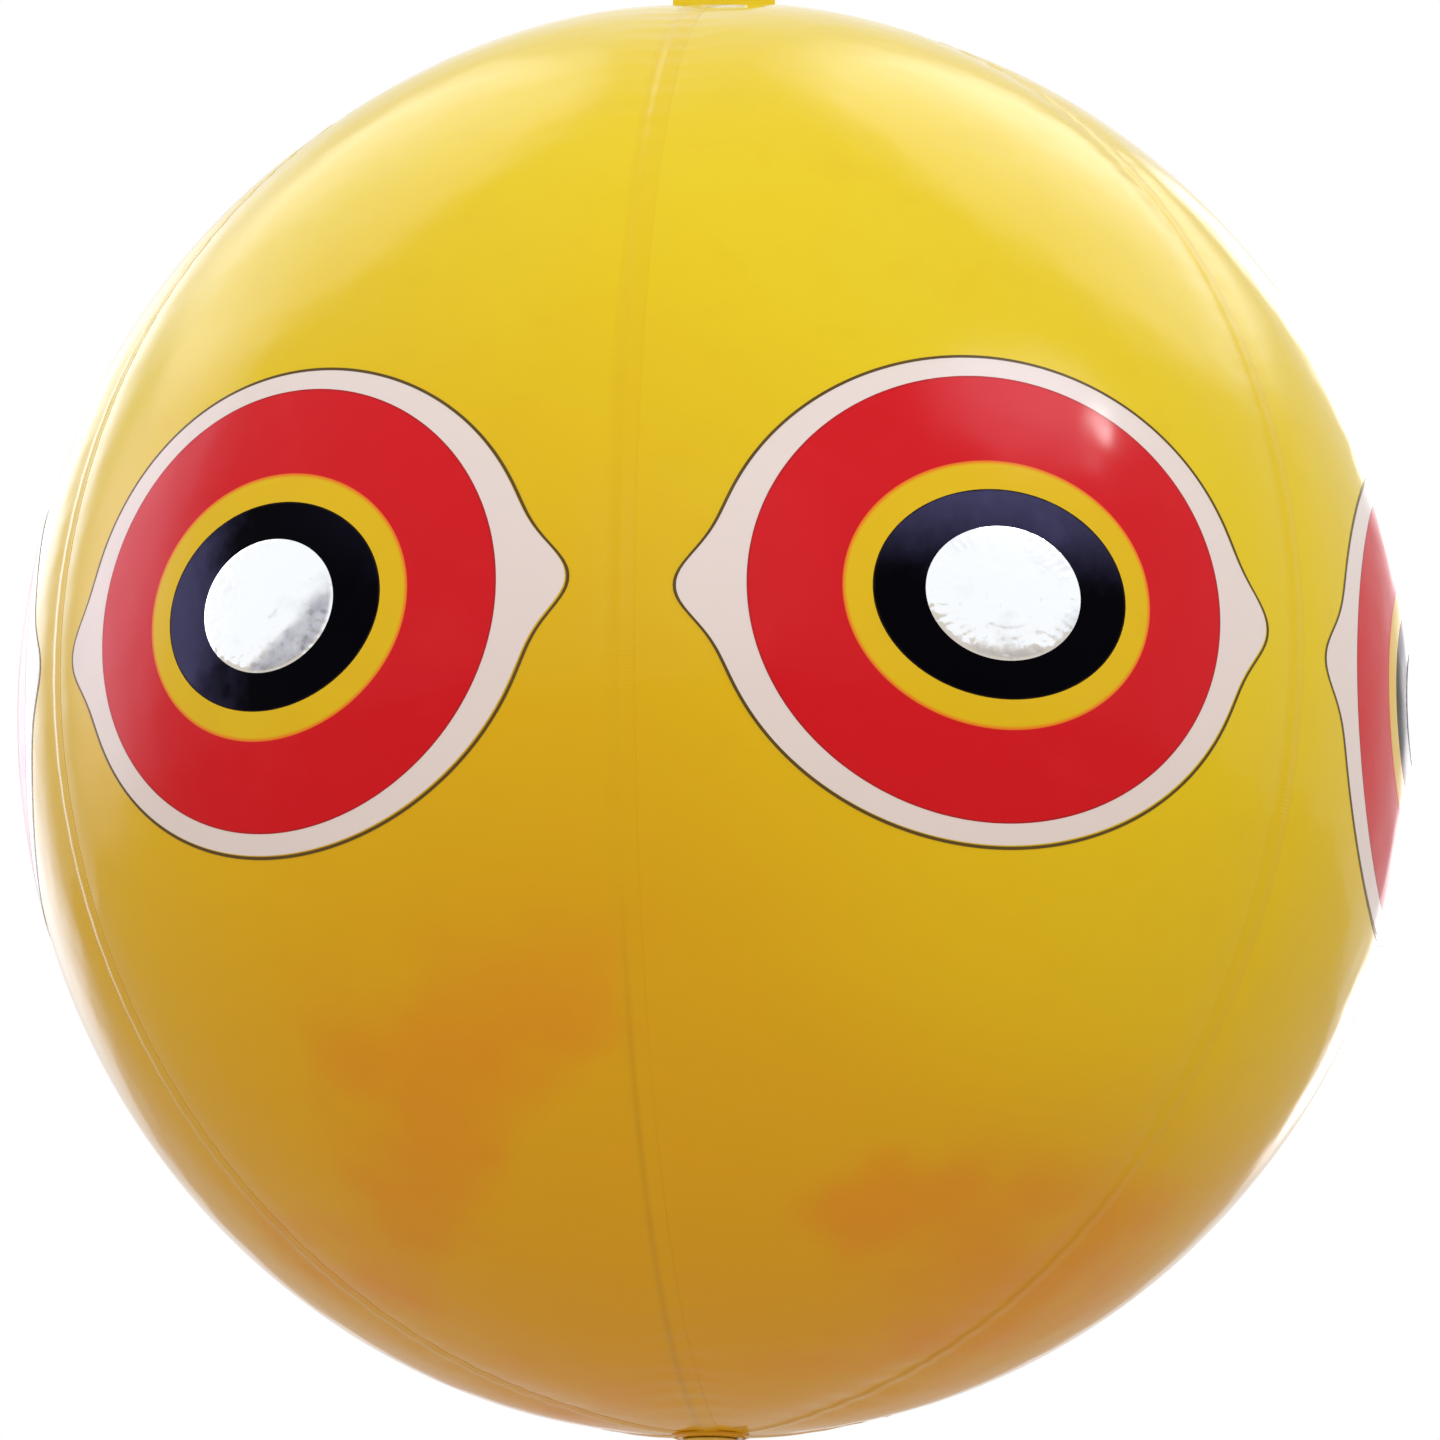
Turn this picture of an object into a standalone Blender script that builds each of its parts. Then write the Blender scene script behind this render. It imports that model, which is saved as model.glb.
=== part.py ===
"""Bird scare balloon: an inflated vinyl ball with six printed eyes, hung from a tab.

Metres, +Z up. The origin is the centre of the eyelet in the hanging tab.
The ball is six welded panels with one eye on each. The seam between panels 1 and 6
faces -Y, and azimuth is counted from there towards +X.
"""

import math

import bmesh
import bpy

MM = 0.001
HALF_TURN = math.pi
FULL_TURN = 2 * math.pi

# Clearance between pieces that touch
FIT_GAP = 0.3 * MM

# Ball, measured over the inflated skin
BALL_WIDTH = 400 * MM
BALL_HEIGHT = 411.6 * MM
VINYL_WALL = 0.3 * MM
PANEL_COUNT = 6
PANEL_COLUMN_COUNT = 6
BALL_ROW_COUNT = 18
POLE_HOLE_RADIUS = 7 * MM

# Welded seam: each panel steps up and laps over the next one
SEAM_LAP = 4 * MM
SEAM_STEP = 1.2 * MM
SEAM_EDGE_CLEARANCE = 0.5 * MM

# Printed eye, drawn flat and pressed onto the skin: the pupil's half width and half height,
# then how much each ring adds to them, and how far the white tips reach past their ellipse
FILM_THICKNESS = 0.2 * MM
FOIL_THICKNESS = 0.15 * MM
EYE_ROW_COUNT = 6
FOIL_SIZE = (22.6 * MM, 18.2 * MM)
BLACK_BAND = (14.4 * MM, 10.3 * MM)
YELLOW_BAND = (8.0 * MM, 8.0 * MM)
RED_BAND = (24.5 * MM, 24.7 * MM)
WHITE_BAND = (9.1 * MM, 5.2 * MM)
WHITE_TIP_LENGTH = 8.6 * MM
WHITE_TIP_RADIUS = 3.6 * MM
WHITE_SHOULDER_SHARE = 0.963
RING_POINT_COUNT = 32
TIP_POINT_COUNT = 5
LID_POINT_COUNT = 17
CUTTER_DEPTH = 60 * MM
CUTTER_OVERRUN = 10 * MM

# Round patches over the panel ends
PATCH_THICKNESS = 0.4 * MM
TOP_PATCH_RADIUS = 20 * MM
BOTTOM_PATCH_RADIUS = 11 * MM

# Hanging tab
TAB_WIDTH = 30 * MM
TAB_DROP = 17 * MM
TAB_HEAD_RADIUS = 11 * MM
TAB_THICKNESS = 0.8 * MM
TAB_HEAD_POINT_COUNT = 17
TAB_STRIP_HEIGHT = 7 * MM
TAB_HINGE_GAP = 0.6 * MM
FOOT_LENGTH = 34 * MM
FOOT_WIDTH = 8 * MM
FOOT_THICKNESS = 0.8 * MM

# Eyelet
EYELET_BORE_RADIUS = 3.5 * MM
EYELET_WALL = 1.0 * MM
EYELET_FLANGE_RADIUS = 7 * MM
EYELET_FLANGE_THICKNESS = 0.6 * MM
EYELET_ROLL_RADIUS = 5.9 * MM
EYELET_ROLL_THICKNESS = 0.7 * MM
WASHER_RADIUS = 7 * MM
WASHER_THICKNESS = 0.5 * MM
EYELET_STEP_COUNT = 24

# Valve at the bottom pole
STEM_RADIUS = 4.8 * MM
STEM_BORE_RADIUS = 3.0 * MM
STEM_RIM_RADIUS = 8.0 * MM
STEM_RIM_THICKNESS = 0.9 * MM
STEM_LIP_RADIUS = 6.2 * MM
STEM_LIP_THICKNESS = 1.0 * MM
STEM_TRAVEL = 8 * MM
FLANGE_RADIUS = 15 * MM
FLANGE_THICKNESS = 0.9 * MM
COLLAR_LENGTH = 7 * MM
PLUG_HEAD_RADIUS = 6.8 * MM
PLUG_HEAD_THICKNESS = 1.1 * MM
PLUG_SHANK_LENGTH = 7 * MM
PLUG_SHANK_TAPER = 0.4 * MM
PLUG_DIMPLE_RADIUS = 1.8 * MM
PLUG_DIMPLE_DEPTH = 4 * MM
STRAP_WIDTH = 3 * MM
STRAP_THICKNESS = 0.5 * MM
STRAP_REACH = 2.3 * MM
STRAP_BEND_POINT_COUNT = 9
FLAP_RADIUS = 4.0 * MM
FLAP_THICKNESS = 0.5 * MM
FLAP_TAB = 0.6 * MM
FLAP_TAB_WIDTH = 4.0 * MM
FLAP_POINT_COUNT = 21
TURN_STEP_COUNT = 24
MERGE_DISTANCE = 0.01 * MM

# Worked out from the sizes above
BLACK_SIZE = (FOIL_SIZE[0] + BLACK_BAND[0], FOIL_SIZE[1] + BLACK_BAND[1])
YELLOW_SIZE = (BLACK_SIZE[0] + YELLOW_BAND[0], BLACK_SIZE[1] + YELLOW_BAND[1])
RED_SIZE = (YELLOW_SIZE[0] + RED_BAND[0], YELLOW_SIZE[1] + RED_BAND[1])
WHITE_SIZE = (RED_SIZE[0] + WHITE_BAND[0], RED_SIZE[1] + WHITE_BAND[1])
WHITE_TIP_REACH = WHITE_SIZE[0] + WHITE_TIP_LENGTH
HALF_WIDTH = BALL_WIDTH / 2
HALF_HEIGHT = BALL_HEIGHT / 2
PANEL_ANGLE = FULL_TURN / PANEL_COUNT
ROW_ANGLE = HALF_TURN / BALL_ROW_COUNT
HOLE_LATITUDE = math.acos(POLE_HOLE_RADIUS / HALF_WIDTH)
POLE_RING_HEIGHT = HALF_HEIGHT * math.sin(HOLE_LATITUDE)
LAP_LIFT = VINYL_WALL + FIT_GAP
PATCH_LIFT = LAP_LIFT + FIT_GAP
FILM_LIFT = FIT_GAP
FOIL_LIFT = FILM_LIFT + FILM_THICKNESS + FIT_GAP
PIVOT_HEIGHT = -TAB_DROP
FOOT_TOP = PIVOT_HEIGHT - TAB_HINGE_GAP
PATCH_TOP = FOOT_TOP - FOOT_THICKNESS - FIT_GAP
BALL_CENTRE = PATCH_TOP - PATCH_THICKNESS - PATCH_LIFT - POLE_RING_HEIGHT
VALVE_HEIGHT = BALL_CENTRE - POLE_RING_HEIGHT
RIM_SEAT = PATCH_LIFT + PATCH_THICKNESS + FIT_GAP
RIM_FACE = RIM_SEAT + STEM_RIM_THICKNESS
HEAD_SEAT = RIM_FACE + FIT_GAP
COLLAR_END = -COLLAR_LENGTH
LIP_SEAT = COLLAR_END - STEM_TRAVEL - FIT_GAP
STEM_END = LIP_SEAT - STEM_LIP_THICKNESS
FLAP_SEAT = STEM_END - FIT_GAP


# Collections, materials and finishing

def clear_scene():
    """Remove whatever the scene holds."""
    for obj in list(bpy.data.objects):
        bpy.data.objects.remove(obj, do_unlink=True)


def new_collection(name):
    """Add a collection to the scene."""
    collection = bpy.data.collections.new(name)
    bpy.context.scene.collection.children.link(collection)
    return collection


def make_material(name, colour, roughness, metallic=0.0):
    """One Principled finish."""
    material = bpy.data.materials.new(name)
    material.use_nodes = True
    shader = material.node_tree.nodes["Principled BSDF"]
    shader.inputs["Base Color"].default_value = (*colour, 1.0)
    shader.inputs["Roughness"].default_value = roughness
    shader.inputs["Metallic"].default_value = metallic
    return material


def add_object(name, data, collection, material=None):
    """Link a mesh or curve under a name."""
    obj = bpy.data.objects.new(name, data)
    collection.objects.link(obj)
    if material is not None:
        obj.data.materials.clear()
        obj.data.materials.append(material)
    return obj


def add_empty(name, collection, location, parent=None):
    """An empty that carries the pieces of one moving body."""
    empty = bpy.data.objects.new(name, None)
    collection.objects.link(empty)
    empty.location = location
    if parent is not None:
        empty.parent = parent
        empty.matrix_parent_inverse = parent.matrix_world.inverted()
    bpy.context.view_layer.update()
    return empty


def hang_on(obj, parent):
    """Parent an object to an empty and keep its place."""
    bpy.context.view_layer.update()
    obj.parent = parent
    obj.matrix_parent_inverse = parent.matrix_world.inverted()


def add_solidify(obj, thickness):
    """Give an open skin its wall, inwards."""
    modifier = obj.modifiers.new("Wall", "SOLIDIFY")
    modifier.thickness = thickness
    modifier.offset = -1.0
    modifier.use_even_offset = True
    return modifier


def evaluated_mesh(obj):
    """The mesh of an object with its modifiers, its loose caps welded."""
    bpy.context.view_layer.update()
    graph = bpy.context.evaluated_depsgraph_get()
    mesh = bpy.data.meshes.new_from_object(obj.evaluated_get(graph))
    work = bmesh.new()
    work.from_mesh(mesh)
    bmesh.ops.remove_doubles(work, verts=work.verts, dist=MERGE_DISTANCE)
    work.to_mesh(mesh)
    work.free()
    return mesh


# Shapes shared by several pieces

def ellipse(size, grow=0.0, points=RING_POINT_COUNT):
    """Points of an ellipse, given its half width and half height."""
    half_width, half_height = size
    loop = []
    for index in range(points):
        angle = FULL_TURN * index / points
        across = (half_width + grow) * math.cos(angle)
        up = (half_height + grow) * math.sin(angle)
        loop.append((across, up))
    return loop


def tangent_angle(point, centre, radius, side):
    """Angle on a circle where the line from an outside point touches it, on side 1 or -1."""
    across = point[0] - centre[0]
    up = point[1] - centre[1]
    distance = math.hypot(across, up)
    return math.atan2(up, across) + side * math.acos(radius / distance)


def arc(centre, radius, start, end, points):
    """Points along an arc, both ends included."""
    loop = []
    for index in range(points):
        angle = start + (end - start) * index / (points - 1)
        across = centre[0] + radius * math.cos(angle)
        up = centre[1] + radius * math.sin(angle)
        loop.append((across, up))
    return loop


def eye_outline():
    """The eye's lemon shape: an ellipse whose ends draw out to blunt round tips."""
    half_width, half_height = WHITE_SIZE
    shoulder = half_width * WHITE_SHOULDER_SHARE
    lid_start = math.acos(shoulder / half_width)
    shoulder_height = half_height * math.sin(lid_start)
    tip_centre = (WHITE_TIP_REACH - WHITE_TIP_RADIUS, 0.0)
    touch = tangent_angle((shoulder, shoulder_height), tip_centre, WHITE_TIP_RADIUS, -1)
    tip = arc(tip_centre, WHITE_TIP_RADIUS, -touch, touch, TIP_POINT_COUNT)
    lid = []
    for index in range(LID_POINT_COUNT):
        angle = lid_start + (HALF_TURN - 2 * lid_start) * index / (LID_POINT_COUNT - 1)
        lid.append((half_width * math.cos(angle), half_height * math.sin(angle)))
    half = tip + lid
    return half + [(-across, -up) for across, up in half]


def flat_curve(name, loops, depth, collection, material=None):
    """A flat outline with holes, drawn in X and Z and as deep as given along Y."""
    curve = bpy.data.curves.new(name, "CURVE")
    curve.dimensions = "2D"
    curve.fill_mode = "BOTH"
    curve.extrude = depth / 2
    for loop in loops:
        spline = curve.splines.new("POLY")
        spline.points.add(len(loop) - 1)
        for point, (across, up) in zip(spline.points, loop):
            point.co = (across, up, 0.0, 1.0)
        spline.use_cyclic_u = True
    obj = add_object(name, curve, collection, material)
    obj.rotation_euler.x = HALF_TURN / 2
    return obj


def turned(name, profile, steps, collection, material):
    """A turned piece about Z: a profile of radius and height, outer side from top to bottom."""
    mesh = bpy.data.meshes.new(name)
    points = [(radius, 0.0, height) for radius, height in profile]
    edges = [(index, index + 1) for index in range(len(points) - 1)]
    on_axis = profile[0][0] == 0.0 and profile[-1][0] == 0.0
    if not on_axis:
        edges.append((len(points) - 1, 0))
    mesh.from_pydata(points, edges, [])
    obj = add_object(name, mesh, collection, material)
    screw = obj.modifiers.new("Turn", "SCREW")
    screw.angle = FULL_TURN
    screw.steps = steps
    screw.render_steps = steps
    screw.use_merge_vertices = True
    screw.merge_threshold = MERGE_DISTANCE
    return obj


def skin_mesh(name, columns, latitudes):
    """An open sheet of the ball's skin from a grid: columns give azimuth, shift along the skin and lift."""
    mesh = bpy.data.meshes.new(name)
    work = bmesh.new()
    rows = len(latitudes) - 1
    bmesh.ops.create_grid(work, x_segments=len(columns) - 1, y_segments=rows, size=1.0)
    for vertex in work.verts:
        column = round((vertex.co.x + 1) / 2 * (len(columns) - 1))
        row = round((vertex.co.y + 1) / 2 * rows)
        azimuth, shift, lift = columns[column]
        latitude = latitudes[row]
        radius = (HALF_WIDTH + lift) * math.cos(latitude)
        turn = azimuth + shift / radius
        across = radius * math.sin(turn)
        depth = -radius * math.cos(turn)
        up = (HALF_HEIGHT + lift) * math.sin(latitude)
        vertex.co = (across, depth, up)
    work.normal_update()
    work.to_mesh(mesh)
    work.free()
    return mesh


def pole_fall(radius):
    """How far the faceted skin has fallen at a radius from the pole, below the ring of the pole hole."""
    first_row = HALF_TURN / 2 - ROW_ANGLE
    row_radius = HALF_WIDTH * math.cos(first_row)
    row_fall = POLE_RING_HEIGHT - HALF_HEIGHT * math.sin(first_row)
    slope = row_fall / (row_radius - POLE_HOLE_RADIUS)
    return slope * max(0.0, radius - POLE_HOLE_RADIUS)


# Ball

def panel_columns():
    """Columns of one panel: trimmed edge, even columns, then the step up and the lap over the next panel."""
    half = PANEL_ANGLE / 2
    columns = [(-half, SEAM_EDGE_CLEARANCE, 0.0)]
    for index in range(1, PANEL_COLUMN_COUNT):
        columns.append((-half + PANEL_ANGLE * index / PANEL_COLUMN_COUNT, 0.0, 0.0))
    columns.append((half, -SEAM_STEP, 0.0))
    columns.append((half, 0.0, LAP_LIFT))
    columns.append((half, SEAM_LAP, LAP_LIFT))
    return columns


def panel_latitudes():
    """Latitudes of the rows, from the bottom pole hole to the top one."""
    rows = [-HALF_TURN / 2 + ROW_ANGLE * index for index in range(1, BALL_ROW_COUNT)]
    return [-HOLE_LATITUDE] + rows + [HOLE_LATITUDE]


def build_panels(collection, ball, material):
    """Six vinyl panels, each lapped over the next at its seam."""
    mesh = skin_mesh("panel", panel_columns(), panel_latitudes())
    for index in range(PANEL_COUNT):
        panel = add_object(f"ball_panel_{index + 1}", mesh, collection, material)
        panel.location.z = BALL_CENTRE
        panel.rotation_euler.z = PANEL_ANGLE * (index + 0.5)
        add_solidify(panel, VINYL_WALL)
        hang_on(panel, ball)


def film_mesh(name, loops, lift, thickness, parts, cutters):
    """A thin film on the skin of a front panel, cut to a flat outline from the front."""
    half = PANEL_ANGLE / 2
    columns = []
    for index in range(PANEL_COLUMN_COUNT + 1):
        columns.append((-half + PANEL_ANGLE * index / PANEL_COLUMN_COUNT, 0.0, lift + thickness))
    latitudes = [ROW_ANGLE * (index - EYE_ROW_COUNT / 2) for index in range(EYE_ROW_COUNT + 1)]
    sheet = add_object(name, skin_mesh(name, columns, latitudes), parts)
    add_solidify(sheet, thickness)
    outline = flat_curve(name + "_outline", loops, CUTTER_DEPTH, cutters)
    outline.location.y = -HALF_WIDTH - CUTTER_OVERRUN + CUTTER_DEPTH / 2
    cutter = add_object(name + "_cutter", evaluated_mesh(outline), cutters)
    cutter.matrix_world = outline.matrix_world
    cutter.hide_render = True
    cutter.display_type = "WIRE"
    bpy.data.objects.remove(outline, do_unlink=True)
    cut = sheet.modifiers.new("Outline", "BOOLEAN")
    cut.operation = "INTERSECT"
    cut.solver = "EXACT"
    cut.object = cutter
    mesh = evaluated_mesh(sheet)
    mesh.name = name
    bpy.data.objects.remove(sheet, do_unlink=True)
    return mesh


def build_eyes(collection, cutters, ball, finishes):
    """Six eyes: printed rings side by side on the skin, and a foil pupil on the black disc."""
    films = {
        "white": ([eye_outline(), ellipse(RED_SIZE, FIT_GAP)], FILM_LIFT, FILM_THICKNESS),
        "red": ([ellipse(RED_SIZE), ellipse(YELLOW_SIZE, FIT_GAP)], FILM_LIFT, FILM_THICKNESS),
        "yellow": ([ellipse(YELLOW_SIZE), ellipse(BLACK_SIZE, FIT_GAP)], FILM_LIFT, FILM_THICKNESS),
        "black": ([ellipse(BLACK_SIZE)], FILM_LIFT, FILM_THICKNESS),
        "foil": ([ellipse(FOIL_SIZE)], FOIL_LIFT, FOIL_THICKNESS),
    }
    for colour, (loops, lift, thickness) in films.items():
        mesh = film_mesh(f"film_{colour}", loops, lift, thickness, collection, cutters)
        for index in range(PANEL_COUNT):
            film = add_object(f"eye_{index + 1}_{colour}", mesh, collection, finishes[colour])
            film.location.z = BALL_CENTRE
            film.rotation_euler.z = PANEL_ANGLE * (index + 0.5)
            hang_on(film, ball)


def build_patches(collection, ball, material):
    """Round patches that cover the panel ends: a whole disc above, a holed one round the valve below."""
    rim = TOP_PATCH_RADIUS
    inner = PATCH_LIFT
    outer = PATCH_LIFT + PATCH_THICKNESS
    profile = [
        (0.0, outer),
        (POLE_HOLE_RADIUS, outer),
        (rim, outer - pole_fall(rim)),
        (rim, inner - pole_fall(rim)),
        (POLE_HOLE_RADIUS, inner),
        (0.0, inner),
    ]
    top = turned("top_patch", profile, TURN_STEP_COUNT, collection, material)
    top.location.z = BALL_CENTRE + POLE_RING_HEIGHT
    hang_on(top, ball)
    bore = STEM_RADIUS + FIT_GAP
    rim = BOTTOM_PATCH_RADIUS
    profile = [
        (bore, -inner),
        (POLE_HOLE_RADIUS, -inner),
        (rim, pole_fall(rim) - inner),
        (rim, pole_fall(rim) - outer),
        (POLE_HOLE_RADIUS, -outer),
        (bore, -outer),
    ]
    bottom = turned("bottom_patch", profile, TURN_STEP_COUNT, collection, material)
    bottom.location.z = VALVE_HEIGHT
    hang_on(bottom, ball)


# Hanging tab

def build_tab_foot(collection, ball, material):
    """The welded foot of the tab: flat on top, and following the patch below."""
    half = FOOT_LENGTH / 2
    top = FOOT_TOP
    bottom = FOOT_TOP - FOOT_THICKNESS
    loop = [
        (-half, bottom - pole_fall(half)),
        (-POLE_HOLE_RADIUS, bottom),
        (POLE_HOLE_RADIUS, bottom),
        (half, bottom - pole_fall(half)),
        (half, top - pole_fall(half)),
        (TAB_WIDTH / 2, top),
        (-TAB_WIDTH / 2, top),
        (-half, top - pole_fall(half)),
    ]
    foot = flat_curve("tab_weld_strip", [loop], FOOT_WIDTH, collection, material)
    hang_on(foot, ball)


def build_tab(collection, material):
    """The free blade: a straight strip at the root, drawn in to a round head about the eyelet."""
    half = TAB_WIDTH / 2
    strip_top = PIVOT_HEIGHT + TAB_STRIP_HEIGHT
    root = (half, strip_top)
    touch = tangent_angle(root, (0.0, 0.0), TAB_HEAD_RADIUS, 1)
    head = arc((0.0, 0.0), TAB_HEAD_RADIUS, touch, HALF_TURN - touch, TAB_HEAD_POINT_COUNT)
    outline = [(half, PIVOT_HEIGHT), root] + head + [(-half, strip_top), (-half, PIVOT_HEIGHT)]
    hole_radius = EYELET_BORE_RADIUS + EYELET_WALL + FIT_GAP
    hole = ellipse((hole_radius, hole_radius), points=EYELET_STEP_COUNT)
    flat_curve("hang_tab", [outline, hole], TAB_THICKNESS, collection, material)


def build_eyelet(collection, material):
    """Two-piece eyelet: a flanged barrel rolled over a washer at the back."""
    bore = EYELET_BORE_RADIUS
    barrel = bore + EYELET_WALL
    face = TAB_THICKNESS / 2 + FIT_GAP
    front = face + EYELET_FLANGE_THICKNESS
    washer_back = face + WASHER_THICKNESS
    roll_seat = washer_back + FIT_GAP
    back = roll_seat + EYELET_ROLL_THICKNESS
    rounding = EYELET_FLANGE_THICKNESS / 2
    roll_rounding = EYELET_ROLL_THICKNESS / 2
    profile = [
        (bore + rounding, front),
        (EYELET_FLANGE_RADIUS - rounding, front),
        (EYELET_FLANGE_RADIUS, front - rounding),
        (EYELET_FLANGE_RADIUS, face),
        (barrel, face),
        (barrel, -roll_seat),
        (EYELET_ROLL_RADIUS, -roll_seat),
        (EYELET_ROLL_RADIUS, -roll_seat - roll_rounding),
        (EYELET_ROLL_RADIUS - roll_rounding, -back),
        (bore + roll_rounding, -back),
        (bore, roll_rounding - back),
        (bore, front - rounding),
    ]
    eyelet = turned("eyelet_barrel", profile, EYELET_STEP_COUNT, collection, material)
    eyelet.rotation_euler.x = HALF_TURN / 2
    washer_bore = barrel + FIT_GAP
    chamfer = WASHER_THICKNESS / 2
    profile = [
        (washer_bore, -face),
        (WASHER_RADIUS, -face),
        (WASHER_RADIUS, chamfer - washer_back),
        (WASHER_RADIUS - chamfer, -washer_back),
        (washer_bore, -washer_back),
    ]
    washer = turned("eyelet_washer", profile, EYELET_STEP_COUNT, collection, material)
    washer.rotation_euler.x = HALF_TURN / 2


# Valve: heights below are counted outwards, so they are negated for Z

def outwards(profile):
    """Turn heights counted outwards at the bottom pole into heights in Z."""
    return [(radius, -height) for radius, height in profile]


def build_valve_flange(collection, ball, material):
    """The ring welded inside the panels, with the collar that guides the stem."""
    bore = STEM_RADIUS + FIT_GAP
    collar = POLE_HOLE_RADIUS - FIT_GAP
    seat = -LAP_LIFT
    rim = FLANGE_RADIUS
    profile = [
        (bore, PATCH_LIFT - FIT_GAP),
        (bore, COLLAR_END),
        (collar, COLLAR_END),
        (collar, seat - FLANGE_THICKNESS),
        (rim, seat - FLANGE_THICKNESS - pole_fall(rim)),
        (rim, seat - pole_fall(rim)),
        (POLE_HOLE_RADIUS, seat),
        (collar, seat),
        (collar, PATCH_LIFT - FIT_GAP),
    ]
    flange = turned("valve_flange", outwards(profile), TURN_STEP_COUNT, collection, material)
    flange.location.z = VALVE_HEIGHT
    hang_on(flange, ball)


def build_valve_stem(collection, valve, material):
    """The push-in stem: a tube with a rim outside and a stop lip inside."""
    bore = STEM_BORE_RADIUS
    bevel = STEM_RIM_THICKNESS / 3
    profile = [
        (bore, RIM_FACE),
        (bore, STEM_END),
        (STEM_LIP_RADIUS, STEM_END),
        (STEM_LIP_RADIUS, LIP_SEAT),
        (STEM_RADIUS, LIP_SEAT),
        (STEM_RADIUS, RIM_SEAT),
        (STEM_RIM_RADIUS, RIM_SEAT),
        (STEM_RIM_RADIUS, RIM_FACE - bevel),
        (STEM_RIM_RADIUS - bevel, RIM_FACE),
    ]
    stem = turned("valve_stem", outwards(profile), TURN_STEP_COUNT, collection, material)
    stem.location.z = VALVE_HEIGHT
    hang_on(stem, valve)


def build_plug(collection, plug, material):
    """The stopper: a flat head with a dimple and a shank that tapers into the bore."""
    head_face = HEAD_SEAT + PLUG_HEAD_THICKNESS
    bevel = PLUG_HEAD_THICKNESS / 3
    shank = STEM_BORE_RADIUS - FIT_GAP
    profile = [
        (0.0, HEAD_SEAT - PLUG_SHANK_LENGTH),
        (shank - PLUG_SHANK_TAPER, HEAD_SEAT - PLUG_SHANK_LENGTH),
        (shank, HEAD_SEAT - PLUG_SHANK_LENGTH / 2),
        (shank, HEAD_SEAT),
        (PLUG_HEAD_RADIUS, HEAD_SEAT),
        (PLUG_HEAD_RADIUS, head_face - bevel),
        (PLUG_HEAD_RADIUS - bevel, head_face),
        (PLUG_DIMPLE_RADIUS, head_face),
        (PLUG_DIMPLE_RADIUS, head_face - PLUG_DIMPLE_DEPTH),
        (0.0, head_face - PLUG_DIMPLE_DEPTH),
    ]
    stopper = turned("valve_plug", outwards(profile), TURN_STEP_COUNT, collection, material)
    stopper.location.z = VALVE_HEIGHT
    hang_on(stopper, plug)


def build_strap(collection, valve, material):
    """The strap from the plug's head round to the stem's rim: two legs and a round bend."""
    upper = HEAD_SEAT + PLUG_HEAD_THICKNESS / 2
    lower = RIM_SEAT + STEM_RIM_THICKNESS / 2
    middle = (upper + lower) / 2
    bend = (upper - lower) / 2
    half = STRAP_THICKNESS / 2
    centre = (STEM_RIM_RADIUS + STRAP_REACH, -middle)
    outer = arc(centre, bend + half, -HALF_TURN / 2, HALF_TURN / 2, STRAP_BEND_POINT_COUNT)
    inner = arc(centre, bend - half, HALF_TURN / 2, -HALF_TURN / 2, STRAP_BEND_POINT_COUNT)
    head_end = PLUG_HEAD_RADIUS + FIT_GAP
    rim_end = STEM_RIM_RADIUS + FIT_GAP
    loop = [(head_end, -upper - half)] + outer + [(rim_end, half - lower), (rim_end, -lower - half)]
    loop += inner + [(head_end, half - upper)]
    strap = flat_curve("plug_strap", [loop], STRAP_WIDTH, collection, material)
    strap.location.z = VALVE_HEIGHT
    hang_on(strap, valve)


def build_flap(collection, flap, material):
    """The one-way flap on the stem's inner end: a disc with a short hinge tab."""
    tab_half = FLAP_TAB_WIDTH / 2
    tab_angle = math.asin(tab_half / FLAP_RADIUS)
    start = HALF_TURN / 2 + tab_angle
    end = FULL_TURN + HALF_TURN / 2 - tab_angle
    edge = FLAP_RADIUS + FLAP_TAB
    outline = arc((0.0, 0.0), FLAP_RADIUS, start, end, FLAP_POINT_COUNT) + [(tab_half, edge), (-tab_half, edge)]
    disc = flat_curve("check_flap", [outline], FLAP_THICKNESS, collection, material)
    disc.rotation_euler.x = 0.0
    disc.location.z = VALVE_HEIGHT - FLAP_SEAT + FLAP_THICKNESS / 2
    hang_on(disc, flap)


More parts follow.
